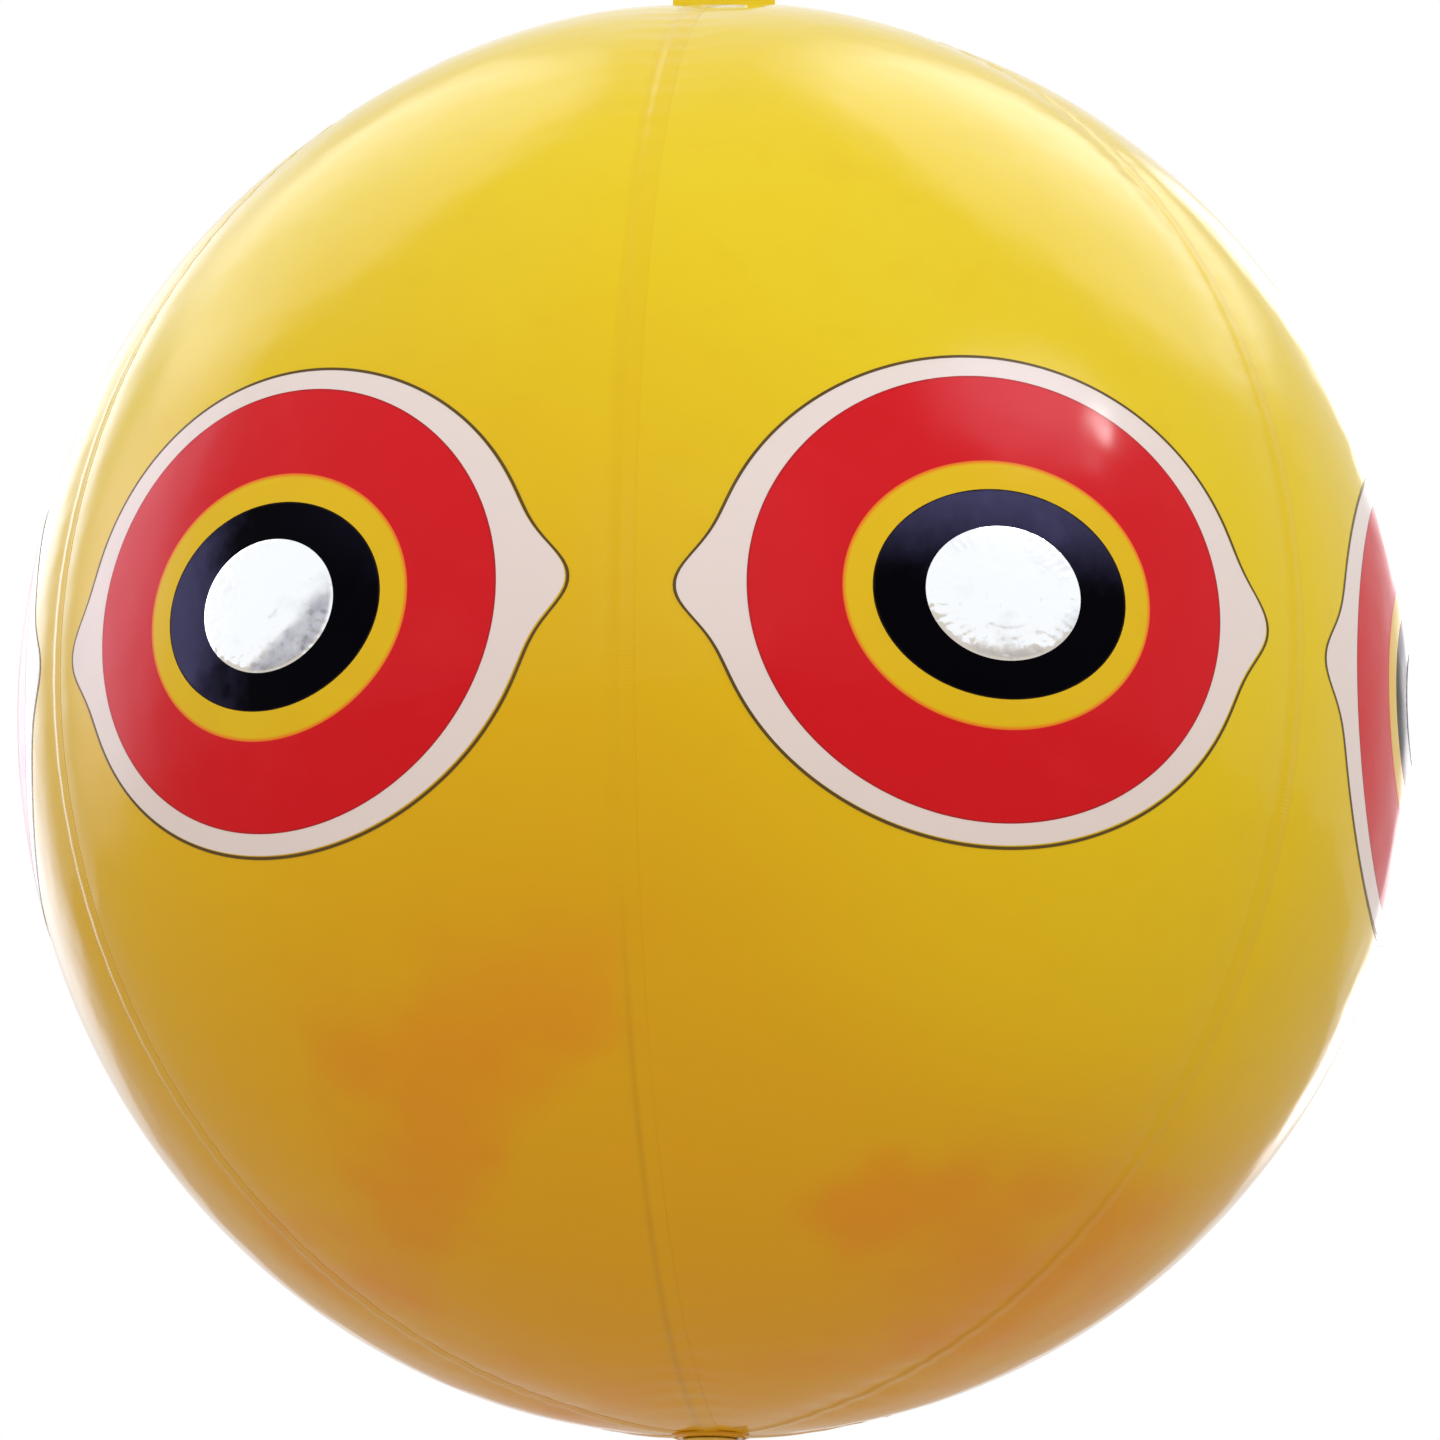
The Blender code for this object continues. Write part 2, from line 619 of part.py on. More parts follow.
def build():
    """Build every piece and hang it on the body that carries it."""
    clear_scene()
    parts = new_collection("bird_scare_balloon")
    cutters = new_collection("cutters")
    vinyl = make_material("yellow_vinyl", (0.72, 0.50, 0.03), 0.22)
    valve_vinyl = make_material("valve_vinyl", (0.72, 0.48, 0.05), 0.35)
    plated = make_material("plated_eyelet", (0.75, 0.74, 0.70), 0.25, 1.0)
    finishes = {
        "white": make_material("white_print", (0.75, 0.68, 0.68), 0.3),
        "red": make_material("red_print", (0.60, 0.015, 0.02), 0.25),
        "yellow": make_material("yellow_print", (0.75, 0.40, 0.02), 0.25),
        "black": make_material("black_print", (0.01, 0.01, 0.02), 0.2),
        "foil": make_material("foil", (0.9, 0.9, 0.9), 0.1, 1.0),
    }
    ball = add_empty("ball", parts, (0.0, 0.0, PIVOT_HEIGHT))
    valve = add_empty("valve", parts, (0.0, 0.0, VALVE_HEIGHT), ball)
    plug = add_empty("plug", parts, (0.0, 0.0, VALVE_HEIGHT - HEAD_SEAT), valve)
    hinge = (0.0, FLAP_RADIUS + FLAP_TAB, VALVE_HEIGHT - FLAP_SEAT)
    flap = add_empty("flap", parts, hinge, valve)
    build_panels(parts, ball, vinyl)
    build_eyes(parts, cutters, ball, finishes)
    build_patches(parts, ball, vinyl)
    build_tab_foot(parts, ball, vinyl)
    build_tab(parts, vinyl)
    build_eyelet(parts, plated)
    build_valve_flange(parts, ball, valve_vinyl)
    build_valve_stem(parts, valve, valve_vinyl)
    build_plug(parts, plug, valve_vinyl)
    build_strap(parts, valve, valve_vinyl)
    build_flap(parts, flap, valve_vinyl)


build()
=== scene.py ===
"""Bird scare balloon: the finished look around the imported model.

Metres, +Z up. The origin is the centre of the eyelet in the hanging tab.
The ball is six welded gores of glossy vinyl. Each gore carries one printed eye with a foil pupil.
Azimuth is counted from -Y, where the seam between gores 1 and 6 runs, towards +X.
"""

from __future__ import annotations

import logging
import math
from dataclasses import dataclass
from enum import Enum
from typing import Any, Sequence

import bmesh
import bpy
import numpy as np
from mathutils import Matrix, Vector

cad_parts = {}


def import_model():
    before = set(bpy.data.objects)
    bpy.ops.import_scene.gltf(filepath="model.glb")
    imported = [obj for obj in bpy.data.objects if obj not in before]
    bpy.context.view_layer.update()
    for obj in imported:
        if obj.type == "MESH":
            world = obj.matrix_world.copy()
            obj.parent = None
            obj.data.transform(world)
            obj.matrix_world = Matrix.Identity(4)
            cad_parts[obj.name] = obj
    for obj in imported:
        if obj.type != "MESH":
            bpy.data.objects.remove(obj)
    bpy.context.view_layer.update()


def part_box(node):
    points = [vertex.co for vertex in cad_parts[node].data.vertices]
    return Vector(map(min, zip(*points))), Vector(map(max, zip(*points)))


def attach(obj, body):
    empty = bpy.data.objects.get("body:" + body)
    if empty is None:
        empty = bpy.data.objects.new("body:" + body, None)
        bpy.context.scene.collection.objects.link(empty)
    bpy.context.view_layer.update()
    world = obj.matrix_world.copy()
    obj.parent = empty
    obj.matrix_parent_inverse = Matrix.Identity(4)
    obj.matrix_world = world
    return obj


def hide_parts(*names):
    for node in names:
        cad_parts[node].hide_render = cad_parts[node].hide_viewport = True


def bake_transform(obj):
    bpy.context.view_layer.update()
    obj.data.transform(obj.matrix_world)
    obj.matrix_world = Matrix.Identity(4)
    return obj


LOG = logging.getLogger("balloon")
MM = 0.001
HALF_TURN = math.pi
FULL_TURN = 2 * math.pi
GORES = 6
HALF_GORE = HALF_TURN / GORES
MERGE_DISTANCE = 0.002 * MM
SHARP_EDGE = math.radians(38)
MOST_ROUNDING = 0.45

WHITE_LIGHT = (1.0, 1.0, 1.0, 1.0)

Colour = tuple[float, float, float]
Point = tuple[float, float]
Span = tuple[float, float]  # where a smooth rise starts and ends
Grain = tuple[float, ...]  # a noise's scale, detail and seed
Sockets = dict[Any, Any] | None
Mesh = bpy.types.Mesh
Material = bpy.types.Material


class Body(Enum):
    """The bodies that pieces ride on."""

    HANGER = "hanger"
    BALL = "ball"
    VALVE = "valve"
    PLUG = "plug"
    FLAP = "flap"


class Slot(Enum):
    """The record's material slots."""

    VINYL = "yellow_vinyl"
    WHITE = "white_print"
    RED = "red_print"
    AMBER = "yellow_print"
    BLACK = "black_print"
    FOIL = "foil"
    METAL = "eyelet_metal"
    VALVE = "valve_vinyl"


@dataclass(frozen=True)
class Bend:
    """Where a piece bends into another body."""

    body: Body
    start: tuple[float, float, float]
    end: tuple[float, float, float]


class Wire:
    """A node's output, which Python's operators extend with Math nodes."""

    def __init__(self, board: Board, socket: bpy.types.NodeSocket) -> None:
        """Hold the socket and the board that it is on."""
        self.board = board
        self.socket = socket

    def math(self, operation: str, *others: Any) -> Wire:
        """Add a Math node that takes this wire first."""
        return self.board.maths(operation, self, *others)

    def __add__(self, other: Any) -> Wire:
        """This plus other."""
        return self.math("ADD", other)

    def __sub__(self, other: Any) -> Wire:
        """This less other."""
        return self.math("SUBTRACT", other)

    def __rsub__(self, other: Any) -> Wire:
        """Other less this."""
        return self.board.maths("SUBTRACT", other, self)

    def __mul__(self, other: Any) -> Wire:
        """This times other."""
        return self.math("MULTIPLY", other)

    def __truediv__(self, other: Any) -> Wire:
        """This over other."""
        return self.math("DIVIDE", other)

    def __rtruediv__(self, other: Any) -> Wire:
        """Other over this."""
        return self.board.maths("DIVIDE", other, self)

    def __pow__(self, other: Any) -> Wire:
        """This to the power of other."""
        return self.math("POWER", other)

    def __neg__(self) -> Wire:
        """This with its sign turned."""
        return self.math("MULTIPLY", -1.0)

    def __abs__(self) -> Wire:
        """This without its sign."""
        return self.math("ABSOLUTE")

    __radd__ = __add__
    __rmul__ = __mul__

    def sin(self) -> Wire:
        """The sine."""
        return self.math("SINE")

    def cos(self) -> Wire:
        """The cosine."""
        return self.math("COSINE")

    def hill(self, reach: Any) -> Wire:
        """A bell of height one at zero that falls away over a reach."""
        share = self / reach
        return (-(share * share)).math("EXPONENT")


class Board:
    """One node tree, of a shader or of a shape, that wires are drawn on."""

    def __init__(self, tree: bpy.types.NodeTree) -> None:
        """Hold the tree."""
        self.tree = tree

    def feed(self, socket: bpy.types.NodeSocket, value: Any) -> None:
        """Give an input a wire, another node's socket or a value.

        Args:
            socket: The input.
            value: What it gets.
        """
        if isinstance(value, Wire):
            value = value.socket
        if isinstance(value, bpy.types.NodeSocket):
            self.tree.links.new(value, socket)
        else:
            socket.default_value = value

    def node(self, kind: str, sockets: Sockets = None, **settings: Any) -> Any:
        """Add a node.

        Args:
            kind: The node's type.
            sockets: Wires, sockets or values for its inputs, by name or number.
            settings: Its properties, set first; stops are a ramp's places and colours.

        Returns:
            The node.
        """
        made = self.tree.nodes.new(kind)
        for key, value in settings.items():
            if key == "stops":
                self.set_stops(made.color_ramp, value)
            else:
                setattr(made, key, value)
        for key, value in (sockets or {}).items():
            self.feed(made.inputs[key], value)
        return made

    @staticmethod
    def set_stops(ramp: bpy.types.ColorRamp, stops: Sequence[tuple[float, Colour]]) -> None:
        """Give a colour ramp its stops.

        Args:
            ramp: The ramp.
            stops: Each stop's place and colour.
        """
        while len(ramp.elements) < len(stops):
            ramp.elements.new(1.0)
        for element, (place, colour) in zip(ramp.elements, stops):
            element.position = place
            element.color = (*colour, 1.0)

    def wire(self, kind: str, output: Any, sockets: Sockets = None, **settings: Any) -> Wire:
        """Add a node and return one of its outputs as a wire."""
        return Wire(self, self.node(kind, sockets, **settings).outputs[output])

    def maths(self, operation: str, *values: Any) -> Wire:
        """Add a Math node on wires or numbers."""
        return self.wire("ShaderNodeMath", 0, dict(enumerate(values)), operation=operation)

    def vector(self, x: Any, y: Any, z: Any) -> Wire:
        """Join three numbers into a vector."""
        return self.wire("ShaderNodeCombineXYZ", 0, {0: x, 1: y, 2: z})

    def split(self, vector: Wire) -> list[Wire]:
        """Part a vector into its three numbers."""
        return [Wire(self, output) for output in self.node("ShaderNodeSeparateXYZ", {0: vector}).outputs]

    def smooth(self, value: Wire, low: Any, high: Any) -> Wire:
        """Rise smoothly from 0 at low to 1 at high."""
        sockets = {"Value": value, "From Min": low, "From Max": high}
        return self.wire("ShaderNodeMapRange", 0, sockets, interpolation_type="SMOOTHSTEP")

    def noise(self, place: Wire, scale: float, detail: float = 2.0, seed: float | None = None) -> Wire:
        """Smooth noise about zero, from minus a half to a half.

        Args:
            place: Where it is read.
            scale: How fine it is.
            detail: How many finer layers it has.
            seed: Which of its patterns to read.

        Returns:
            The noise.
        """
        sockets = {"Vector": place, "Scale": scale, "Detail": detail}
        if seed is None:
            return self.wire("ShaderNodeTexNoise", 0, sockets) - 0.5
        return self.wire("ShaderNodeTexNoise", 0, {**sockets, "W": seed}, noise_dimensions="4D") - 0.5

    def cells(self, place: Wire, scale: float) -> Wire:
        """The distance to the edges of a pattern of cells."""
        sockets = {"Vector": place, "Scale": scale}
        return self.wire("ShaderNodeTexVoronoi", 0, sockets, feature="DISTANCE_TO_EDGE")

    def tint(self, factor: Any, first: Wire | Colour, second: Wire | Colour) -> Wire:
        """Mix two colours."""
        first, second = (tone if isinstance(tone, Wire) else (*tone, 1.0) for tone in (first, second))
        return self.wire("ShaderNodeMix", 2, {0: factor, 6: first, 7: second}, data_type="RGBA")

    def bump(self, height: Wire, strength: float = 1.0, depth: float = MM) -> Wire:
        """Turn a height into the surface's normal."""
        return self.wire("ShaderNodeBump", 0, {"Strength": strength, "Distance": depth, "Height": height})


class Coat:
    """A material while it is being mixed."""

    def __init__(self, name: str) -> None:
        """Begin the material, on object coordinates.

        Args:
            name: The material's name.
        """
        self.material = bpy.data.materials.new(name)
        self.material.use_nodes = True
        self.board = Board(self.material.node_tree)
        self.shader = self.material.node_tree.nodes["Principled BSDF"]
        self.place = self.board.wire("ShaderNodeTexCoord", "Object")

    def noise(self, scale: float, detail: float = 2.0, seed: float | None = None) -> Wire:
        """Noise over the piece."""
        return self.board.noise(self.place, scale, detail, seed)

    def mark(self, name: str) -> Wire:
        """A number that the mesh keeps on its points."""
        return self.board.wire("ShaderNodeAttribute", "Fac", attribute_name=name)

    def close(self, sockets: dict[str, Any]) -> Material:
        """Give the shader its wires and its own values.

        Args:
            sockets: Wires or values by the names of the shader's sockets.

        Returns:
            The finished material.
        """
        for key, value in sockets.items():
            self.board.feed(self.shader.inputs[key], value)
        return self.material


@dataclass(frozen=True)
class VinylFinish:
    """Glossy inflated vinyl with painted shade: its colour deepens from the lit top to the shaded underside.

    Both reaches and bottom_rise are in metres. Both ends are in shares of the scale of painted shade, and the
    other rises in values of their own noise.
    """

    # Painted shade: the colours run from the shaded underside at 0 to the lit top at 1.
    painted_shade_tones: Sequence[tuple[float, Colour]] = (
        (0.0, (0.67, 0.322, 0.006)),
        (0.30, (0.69, 0.3772, 0.006)),
        (0.52, (0.72, 0.46, 0.006)),
        (0.82, (0.735, 0.543, 0.008)),
    )
    seam: Colour = (0.62, 0.37, 0.006)
    bloom: Colour = (0.69, 0.22, 0.012)
    # The colour of the painted shade in the lap's groove, low on the ball.
    groove_shadow: Colour = (0.42, 0.20, 0.010)
    bottom: float = -0.43
    top: float = -0.02
    bottom_rise: Span = (-0.41, -0.32)
    # Painted light on the right side, away from the very bottom, and on the left side.
    right_light_reach: Span = (-0.02, 0.15)
    painted_right_light: float = 0.34
    left_light_reach: Span = (-0.05, -0.16)
    painted_left_light: float = 0.12
    clouds: Grain = (9.0, 4.0)
    cloudiness: float = 0.10
    mottles: Grain = (70.0, 3.0)
    mottle_rise: Span = (0.0, 0.3)
    mottling: float = 0.10
    spots: Grain = (12.0, 3.0, 1.4)
    spot_rise: Span = (-0.02, 0.14)
    spot_end: Span = (0.2, 0.34)
    blooming: float = 0.56
    weld_shade: float = 0.16
    groove_end: Span = (0.16, 0.36)
    groove_shade: float = 0.32
    roughness: float = 0.10
    scuffs: Grain = (24.0, 5.0)
    scuff_rise: Span = (0.06, 0.22)
    scuff_dull: float = 0.05
    grain: Grain = (1400.0,)
    grain_dull: float = 0.03
    grain_depth: float = 0.003
    weld_dull: float = 0.08
    swells: Grain = (26.0,)
    swell_depth: float = 0.8
    ripples: Grain = (420.0,)
    ripple_depth: float = 0.012
    rib_pitch: float = 1.1 * MM
    rib_depth: float = 0.007
    gloss: float = 0.17

    def share(self, coat: Coat) -> Wire:
        """The place on the scale of painted shade, moved towards the lit top on both sides of the ball as
        painted light.

        Args:
            coat: The material that is being mixed.

        Returns:
            A number that is 0 underneath and 1 on top.
        """
        across, _, height = coat.board.split(coat.place)
        # Painted light: the right side, away from the very bottom, and the left side move towards the lit
        # tone.
        near_bottom = coat.board.smooth(height, *self.bottom_rise)
        right_lit = coat.board.smooth(across, *self.right_light_reach) * near_bottom * self.painted_right_light
        pale = coat.board.smooth(across, *self.left_light_reach) * self.painted_left_light
        return (height - self.bottom) / (self.top - self.bottom) + (right_lit + pale)

    def colour(self, coat: Coat, welded: Wire) -> Wire:
        """The tone, a painted shade from underside to top, with its clouds, the underside's bloom, the welds'
        darker band and painted shade in the grooves low down.

        Args:
            coat: The material that is being mixed.
            welded: Where the skin is welded.

        Returns:
            The colour.
        """
        board = coat.board
        share = self.share(coat)
        cloud = coat.noise(*self.clouds)
        # Painted shade: the colour follows the scale from the shaded underside to the lit top.
        tone = board.wire("ShaderNodeValToRGB", 0, {0: share + self.cloudiness * cloud}, stops=self.painted_shade_tones)
        spots = board.smooth(coat.noise(*self.spots), *self.spot_rise)
        flush = spots * (1.0 - board.smooth(share, *self.spot_end))
        warm = board.tint(flush * self.blooming, tone, self.bloom)
        mottle = board.smooth(coat.noise(*self.mottles), *self.mottle_rise)
        deep = board.tint(mottle * self.mottling, warm, self.seam)
        banded = board.tint(welded * self.weld_shade, deep, self.seam)
        # Painted shade: the lap's groove is darkened only on the lower, shaded part of the ball.
        under = 1.0 - board.smooth(share, *self.groove_end)
        return board.tint(coat.mark("groove") * under * self.groove_shade, banded, self.groove_shadow)

    def build(self) -> Material:
        """Mix the material.

        Returns:
            The material.
        """
        coat = Coat("yellow_vinyl")
        board = coat.board
        welded = coat.mark("weld")
        scuff = board.smooth(coat.noise(*self.scuffs), *self.scuff_rise)
        grain = coat.noise(*self.grain)
        ribs = (coat.mark("along") * (FULL_TURN / self.rib_pitch)).sin() * welded
        relief = coat.noise(*self.swells) * self.swell_depth + coat.noise(*self.ripples) * self.ripple_depth
        relief = relief + grain * self.grain_depth + ribs * self.rib_depth
        dull = self.roughness + self.scuff_dull * scuff + self.grain_dull * grain
        return coat.close({
            "Base Color": self.colour(coat, welded),
            "Roughness": dull + self.weld_dull * welded,
            "Normal": board.bump(relief),
            "Specular IOR Level": self.gloss,
        })


@dataclass(frozen=True)
class InkFinish:
    """Screen-printed ink: a flat tone with uneven density, a bleed at the ring's outer edge and, where given,
    a painted reflection of the sky.
    """

    name: str
    colour: Colour
    thin: Colour
    edge: Colour
    bleed: float = 0.1
    roughness: float = 0.14
    gloss: float = 0.13
    # A painted reflection of the sky, over the ink's upper part and its left side.
    painted_sky_reflection: Colour | None = None
    patches: Grain = (55.0, 5.0)
    patch_rise: Span = (-0.02, 0.28)
    patch_dull: float = 0.07
    thinning: float = 0.35
    streaks: Grain = (260.0, 3.0)
    streak_depth: float = 0.012
    grain: Grain = (1800.0,)
    grain_dull: float = 0.04
    grain_depth: float = 0.004
    swells: Grain = (26.0,)
    swell_depth: float = 0.8
    ragged_bleed: float = 0.02
    # Where the painted reflection lies, and how ragged its edge is.
    reflection_streak: float = 0.006
    reflection_patch: float = 0.008
    top_reflection: Span = (-0.228, -0.197)
    top_side: Span = (-0.10, 0.03)
    left_reflection: Span = (-0.108, -0.132)
    left_end: Span = (-0.180, -0.150)

    def sky_reflection_share(self, coat: Coat, density: Wire, streak: Wire) -> Wire:
        """Where a painted reflection of the sky lightens the ink, over the foils and on the ball's left side.

        Args:
            coat: The material that is being mixed.
            density: How thick the ink lies.
            streak: The print's fine streaks.

        Returns:
            The share of painted reflection.
        """
        board = coat.board
        across, _, height = board.split(coat.place)
        uneven = streak * self.reflection_streak + (density - 0.5) * self.reflection_patch
        upper = board.smooth(height + uneven, *self.top_reflection) * board.smooth(across, *self.top_side)
        side = board.smooth(across + uneven, *self.left_reflection) * board.smooth(across, *self.left_end)
        return upper.math("MAXIMUM", side)

    def build(self) -> Material:
        """Mix the material.

        Returns:
            The material.
        """
        coat = Coat(self.name)
        board = coat.board
        density = board.smooth(coat.noise(*self.patches), *self.patch_rise)
        streak = coat.noise(*self.streaks)
        grain = coat.noise(*self.grain)
        base = board.tint(density * self.thinning, self.colour, self.thin)
        # Painted reflection of the sky, mixed into the ink's colour.
        if self.painted_sky_reflection:
            base = board.tint(self.sky_reflection_share(coat, density, streak), base, self.painted_sky_reflection)
        spread = board.smooth(coat.mark("ring") + self.ragged_bleed * streak, self.bleed, 0.0)
        relief = coat.noise(*self.swells) * self.swell_depth + grain * self.grain_depth
        return coat.close({
            "Base Color": board.tint(spread, base, self.edge),
            "Roughness": self.roughness + self.patch_dull * density + self.grain_dull * grain,
            "Normal": board.bump(relief + streak * self.streak_depth),
            "Specular IOR Level": self.gloss,
        })


@dataclass(frozen=True)
class FoilFinish:
    """Thin mirror foil, finely crinkled, with dull handled patches, a painted dark reflection on its bent
    side, painted shade along a crease and dark specks.
    """

    bright: Colour = (0.95, 0.975, 1.0)
    dull: Colour = (0.80, 0.83, 0.88)
    # fold is the colour of the painted dark reflection and shade on the bent side and the arc, and of the
    # specks.
    fold: Colour = (0.35, 0.35, 0.41)
    roughness: float = 0.15
    patches: Grain = (90.0, 5.0)
    patch_rise: Span = (0.02, 0.25)
    patch_dull: float = 0.14
    bend_shade_dull: float = 0.12
    crinkles: float = 260.0
    crinkle_rise: Span = (0.0, 0.25)
    grain: Grain = (700.0, 4.0)
    relief: float = 0.16
    relief_depth: float = 0.4 * MM

    def build(self) -> Material:
        """Mix the material.

        Returns:
            The material.
        """
        coat = Coat("pupil_foil")
        board = coat.board
        patch = board.smooth(coat.noise(*self.patches), *self.patch_rise)
        bend_shade_and_specks = coat.mark("bend_shade_and_specks")
        crinkle = board.smooth(board.cells(coat.place, self.crinkles), *self.crinkle_rise)
        height = crinkle * 0.5 + coat.noise(*self.grain) * 0.5
        return coat.close({
            # Painted shade: the bent side, the arc and the specks are darkened towards fold.
            "Base Color": board.tint(bend_shade_and_specks, board.tint(patch, self.bright, self.dull), self.fold),
            "Roughness": self.roughness + self.patch_dull * patch + self.bend_shade_dull * bend_shade_and_specks,
            "Normal": board.bump(height, self.relief, self.relief_depth),
            "Metallic": 1.0,
        })


@dataclass(frozen=True)
class PlatedFinish:
    """Nickel-plated steel with fine turning marks and handling haze."""

    bright: Colour = (0.78, 0.77, 0.73)
    worn: Colour = (0.55, 0.52, 0.46)
    roughness: float = 0.2
    turning: float = 9000.0
    turning_depth: float = 0.3
    hazes: Grain = (350.0, 5.0)
    haze_rise: Span = (0.0, 0.25)
    haze_tone: float = 0.5
    haze_dull: float = 0.18
    grain: Grain = (2500.0, 3.0)
    relief: float = 0.15
    relief_depth: float = 0.1 * MM

    def build(self) -> Material:
        """Mix the material.

        Returns:
            The material.
        """
        coat = Coat("eyelet_plate")
        board = coat.board
        across, _, up = board.split(coat.place)
        marks = ((across * across + up * up) ** 0.5 * self.turning).sin()
        haze = board.smooth(coat.noise(*self.hazes), *self.haze_rise)
        height = marks * self.turning_depth + coat.noise(*self.grain)
        return coat.close({
            "Base Color": board.tint(haze * self.haze_tone, self.bright, self.worn),
            "Roughness": self.roughness + self.haze_dull * haze,
            "Normal": board.bump(height, self.relief, self.relief_depth),
            "Metallic": 1.0,
        })


@dataclass(frozen=True)
class SoftFinish:
    """Soft satin vinyl of the moulded valve parts."""

    clear: Colour = (0.70, 0.47, 0.06)
    cloudy: Colour = (0.78, 0.58, 0.16)
    roughness: float = 0.34
    clouds: Grain = (120.0, 4.0)
    cloud_rise: Span = (-0.1, 0.25)
    grain: Grain = (2200.0, 3.0)
    grain_dull: float = 0.1
    relief: float = 0.2
    relief_depth: float = 0.2 * MM

    def build(self) -> Material:
        """Mix the material.

        Returns:
            The material.
        """
        coat = Coat("valve_soft")
        milk = coat.board.smooth(coat.noise(*self.clouds), *self.cloud_rise)
        grain = coat.noise(*self.grain)
        return coat.close({
            "Base Color": coat.board.tint(milk, self.clear, self.cloudy),
            "Roughness": self.roughness + self.grain_dull * grain,
            "Normal": coat.board.bump(grain, self.relief, self.relief_depth),
            "Specular IOR Level": 0.4,
            "Subsurface Weight": 0.12,
            "Subsurface Scale": 2 * MM,
        })


class Recipe:
    """A Geometry Nodes tree with named sizes, which turns a carrier into a plain mesh."""

    def __init__(self, name: str, labels: Sequence[str] | dict[str, float]) -> None:
        """Begin the tree.

        Args:
            name: The tree's name.
            labels: The names of its sizes.
        """
        self.tree = bpy.data.node_groups.new(name, "GeometryNodeTree")
        self.board = Board(self.tree)
        self.keys = {label: self.add_input(label, "NodeSocketFloat") for label in labels}
        self.keys["Finish"] = self.add_input("Finish", "NodeSocketMaterial")
        self.tree.interface.new_socket("Mesh", in_out="OUTPUT", socket_type="NodeSocketGeometry")
        self.entry = self.board.node("NodeGroupInput")

    def add_input(self, label: str, kind: str) -> str:
        """Add one named input and return its identifier."""
        return self.tree.interface.new_socket(label, in_out="INPUT", socket_type=kind).identifier

    def __getitem__(self, label: str) -> Wire:
        """The wire of a named input."""
        return Wire(self.board, self.entry.outputs[label])

    def grid(self, columns: int, rows: int) -> tuple[Wire, Wire, Wire]:
        """Lay a unit grid.

        Args:
            columns: Cells across.
            rows: Cells up.

        Returns:
            The grid, and each point's place across and up, both from 0 to 1.
        """
        sockets = {"Size X": 1.0, "Size Y": 1.0, "Vertices X": columns + 1, "Vertices Y": rows + 1}
        mesh = self.board.wire("GeometryNodeMeshGrid", 0, sockets)
        across, up, _ = self.board.split(self.board.wire("GeometryNodeInputPosition", 0))
        return mesh, across + 0.5, up + 0.5

    def store(self, mesh: Wire, label: str, value: Wire) -> Wire:
        """Keep a number on each point under a name."""
        sockets = {"Geometry": mesh, "Name": label, "Value": value}
        return self.board.wire("GeometryNodeStoreNamedAttribute", 0, sockets, data_type="FLOAT")

    def move(self, mesh: Wire, place: Wire) -> Wire:
        """Set each point's place."""
        return self.board.wire("GeometryNodeSetPosition", 0, {"Geometry": mesh, "Position": place})

    def close(self, mesh: Wire) -> None:
        """End the tree with real instances, merged points and the finish.

        Args:
            mesh: What the tree has made.
        """
        real = self.board.wire("GeometryNodeRealizeInstances", 0, {"Geometry": mesh})
        sockets = {"Geometry": real, "Distance": MERGE_DISTANCE}
        merged = self.board.wire("GeometryNodeMergeByDistance", 0, sockets)
        sockets = {"Geometry": merged, "Material": self["Finish"]}
        self.board.node("NodeGroupOutput", {"Mesh": self.board.wire("GeometryNodeSetMaterial", 0, sockets)})

    def make(self, name: str, finish: Material, sizes: dict[str, float], wall: float = 0.0) -> Mesh:
        """Run the tree once.

        Args:
            name: The mesh's name.
            finish: The material.
            sizes: The named sizes.
            wall: The thickness to give an open sheet, inwards.

        Returns:
            The plain mesh.
        """
        carrier = put_in_scene(name, bpy.data.meshes.new(name))
        modifier = carrier.modifiers.new("Recipe", "NODES")
        modifier.node_group = self.tree
        modifier[self.keys["Finish"]] = finish
        for label, value in sizes.items():
            modifier[self.keys[label]] = float(value)
        if wall:
            add_wall(carrier, wall, -1.0)
        return plain_mesh(carrier)


def put_in_scene(name: str, data: Any) -> bpy.types.Object:
    """Make a mesh, a lamp or a camera an object of the scene.

    Args:
        name: The object's name.
        data: What it shows.

    Returns:
        The object.
    """
    obj = bpy.data.objects.new(name, data)
    bpy.context.scene.collection.objects.link(obj)
    return obj


def add_wall(obj: bpy.types.Object, thickness: float, offset: float) -> None:
    """Give an open sheet its thickness.

    Args:
        obj: The sheet's object.
        thickness: How thick it gets.
        offset: Which way it grows: -1 inwards, 0 to both sides.
    """
    wall = obj.modifiers.new("Wall", "SOLIDIFY")
    wall.thickness = thickness
    wall.offset = offset
    wall.use_even_offset = True


def plain_mesh(obj: bpy.types.Object) -> Mesh:
    """Turn an object with modifiers into a smooth-shaded mesh of its name, and remove the object.

    Args:
        obj: The object.

    Returns:
        The plain mesh.
    """
    name, carried = obj.name, obj.data
    bpy.context.view_layer.update()
    graph = bpy.context.evaluated_depsgraph_get()
    mesh = bpy.data.meshes.new_from_object(obj.evaluated_get(graph))
    bpy.data.objects.remove(obj, do_unlink=True)
    bpy.data.meshes.remove(carried)
    mesh.name = name
    return shade(mesh)


def shade(mesh: Mesh) -> Mesh:
    """Shade a mesh smooth between its sharp edges.

    Args:
        mesh: The mesh.

    Returns:
        The same mesh.
    """
    mesh.shade_smooth()
    mesh.set_sharp_from_angle(angle=SHARP_EDGE)
    return mesh


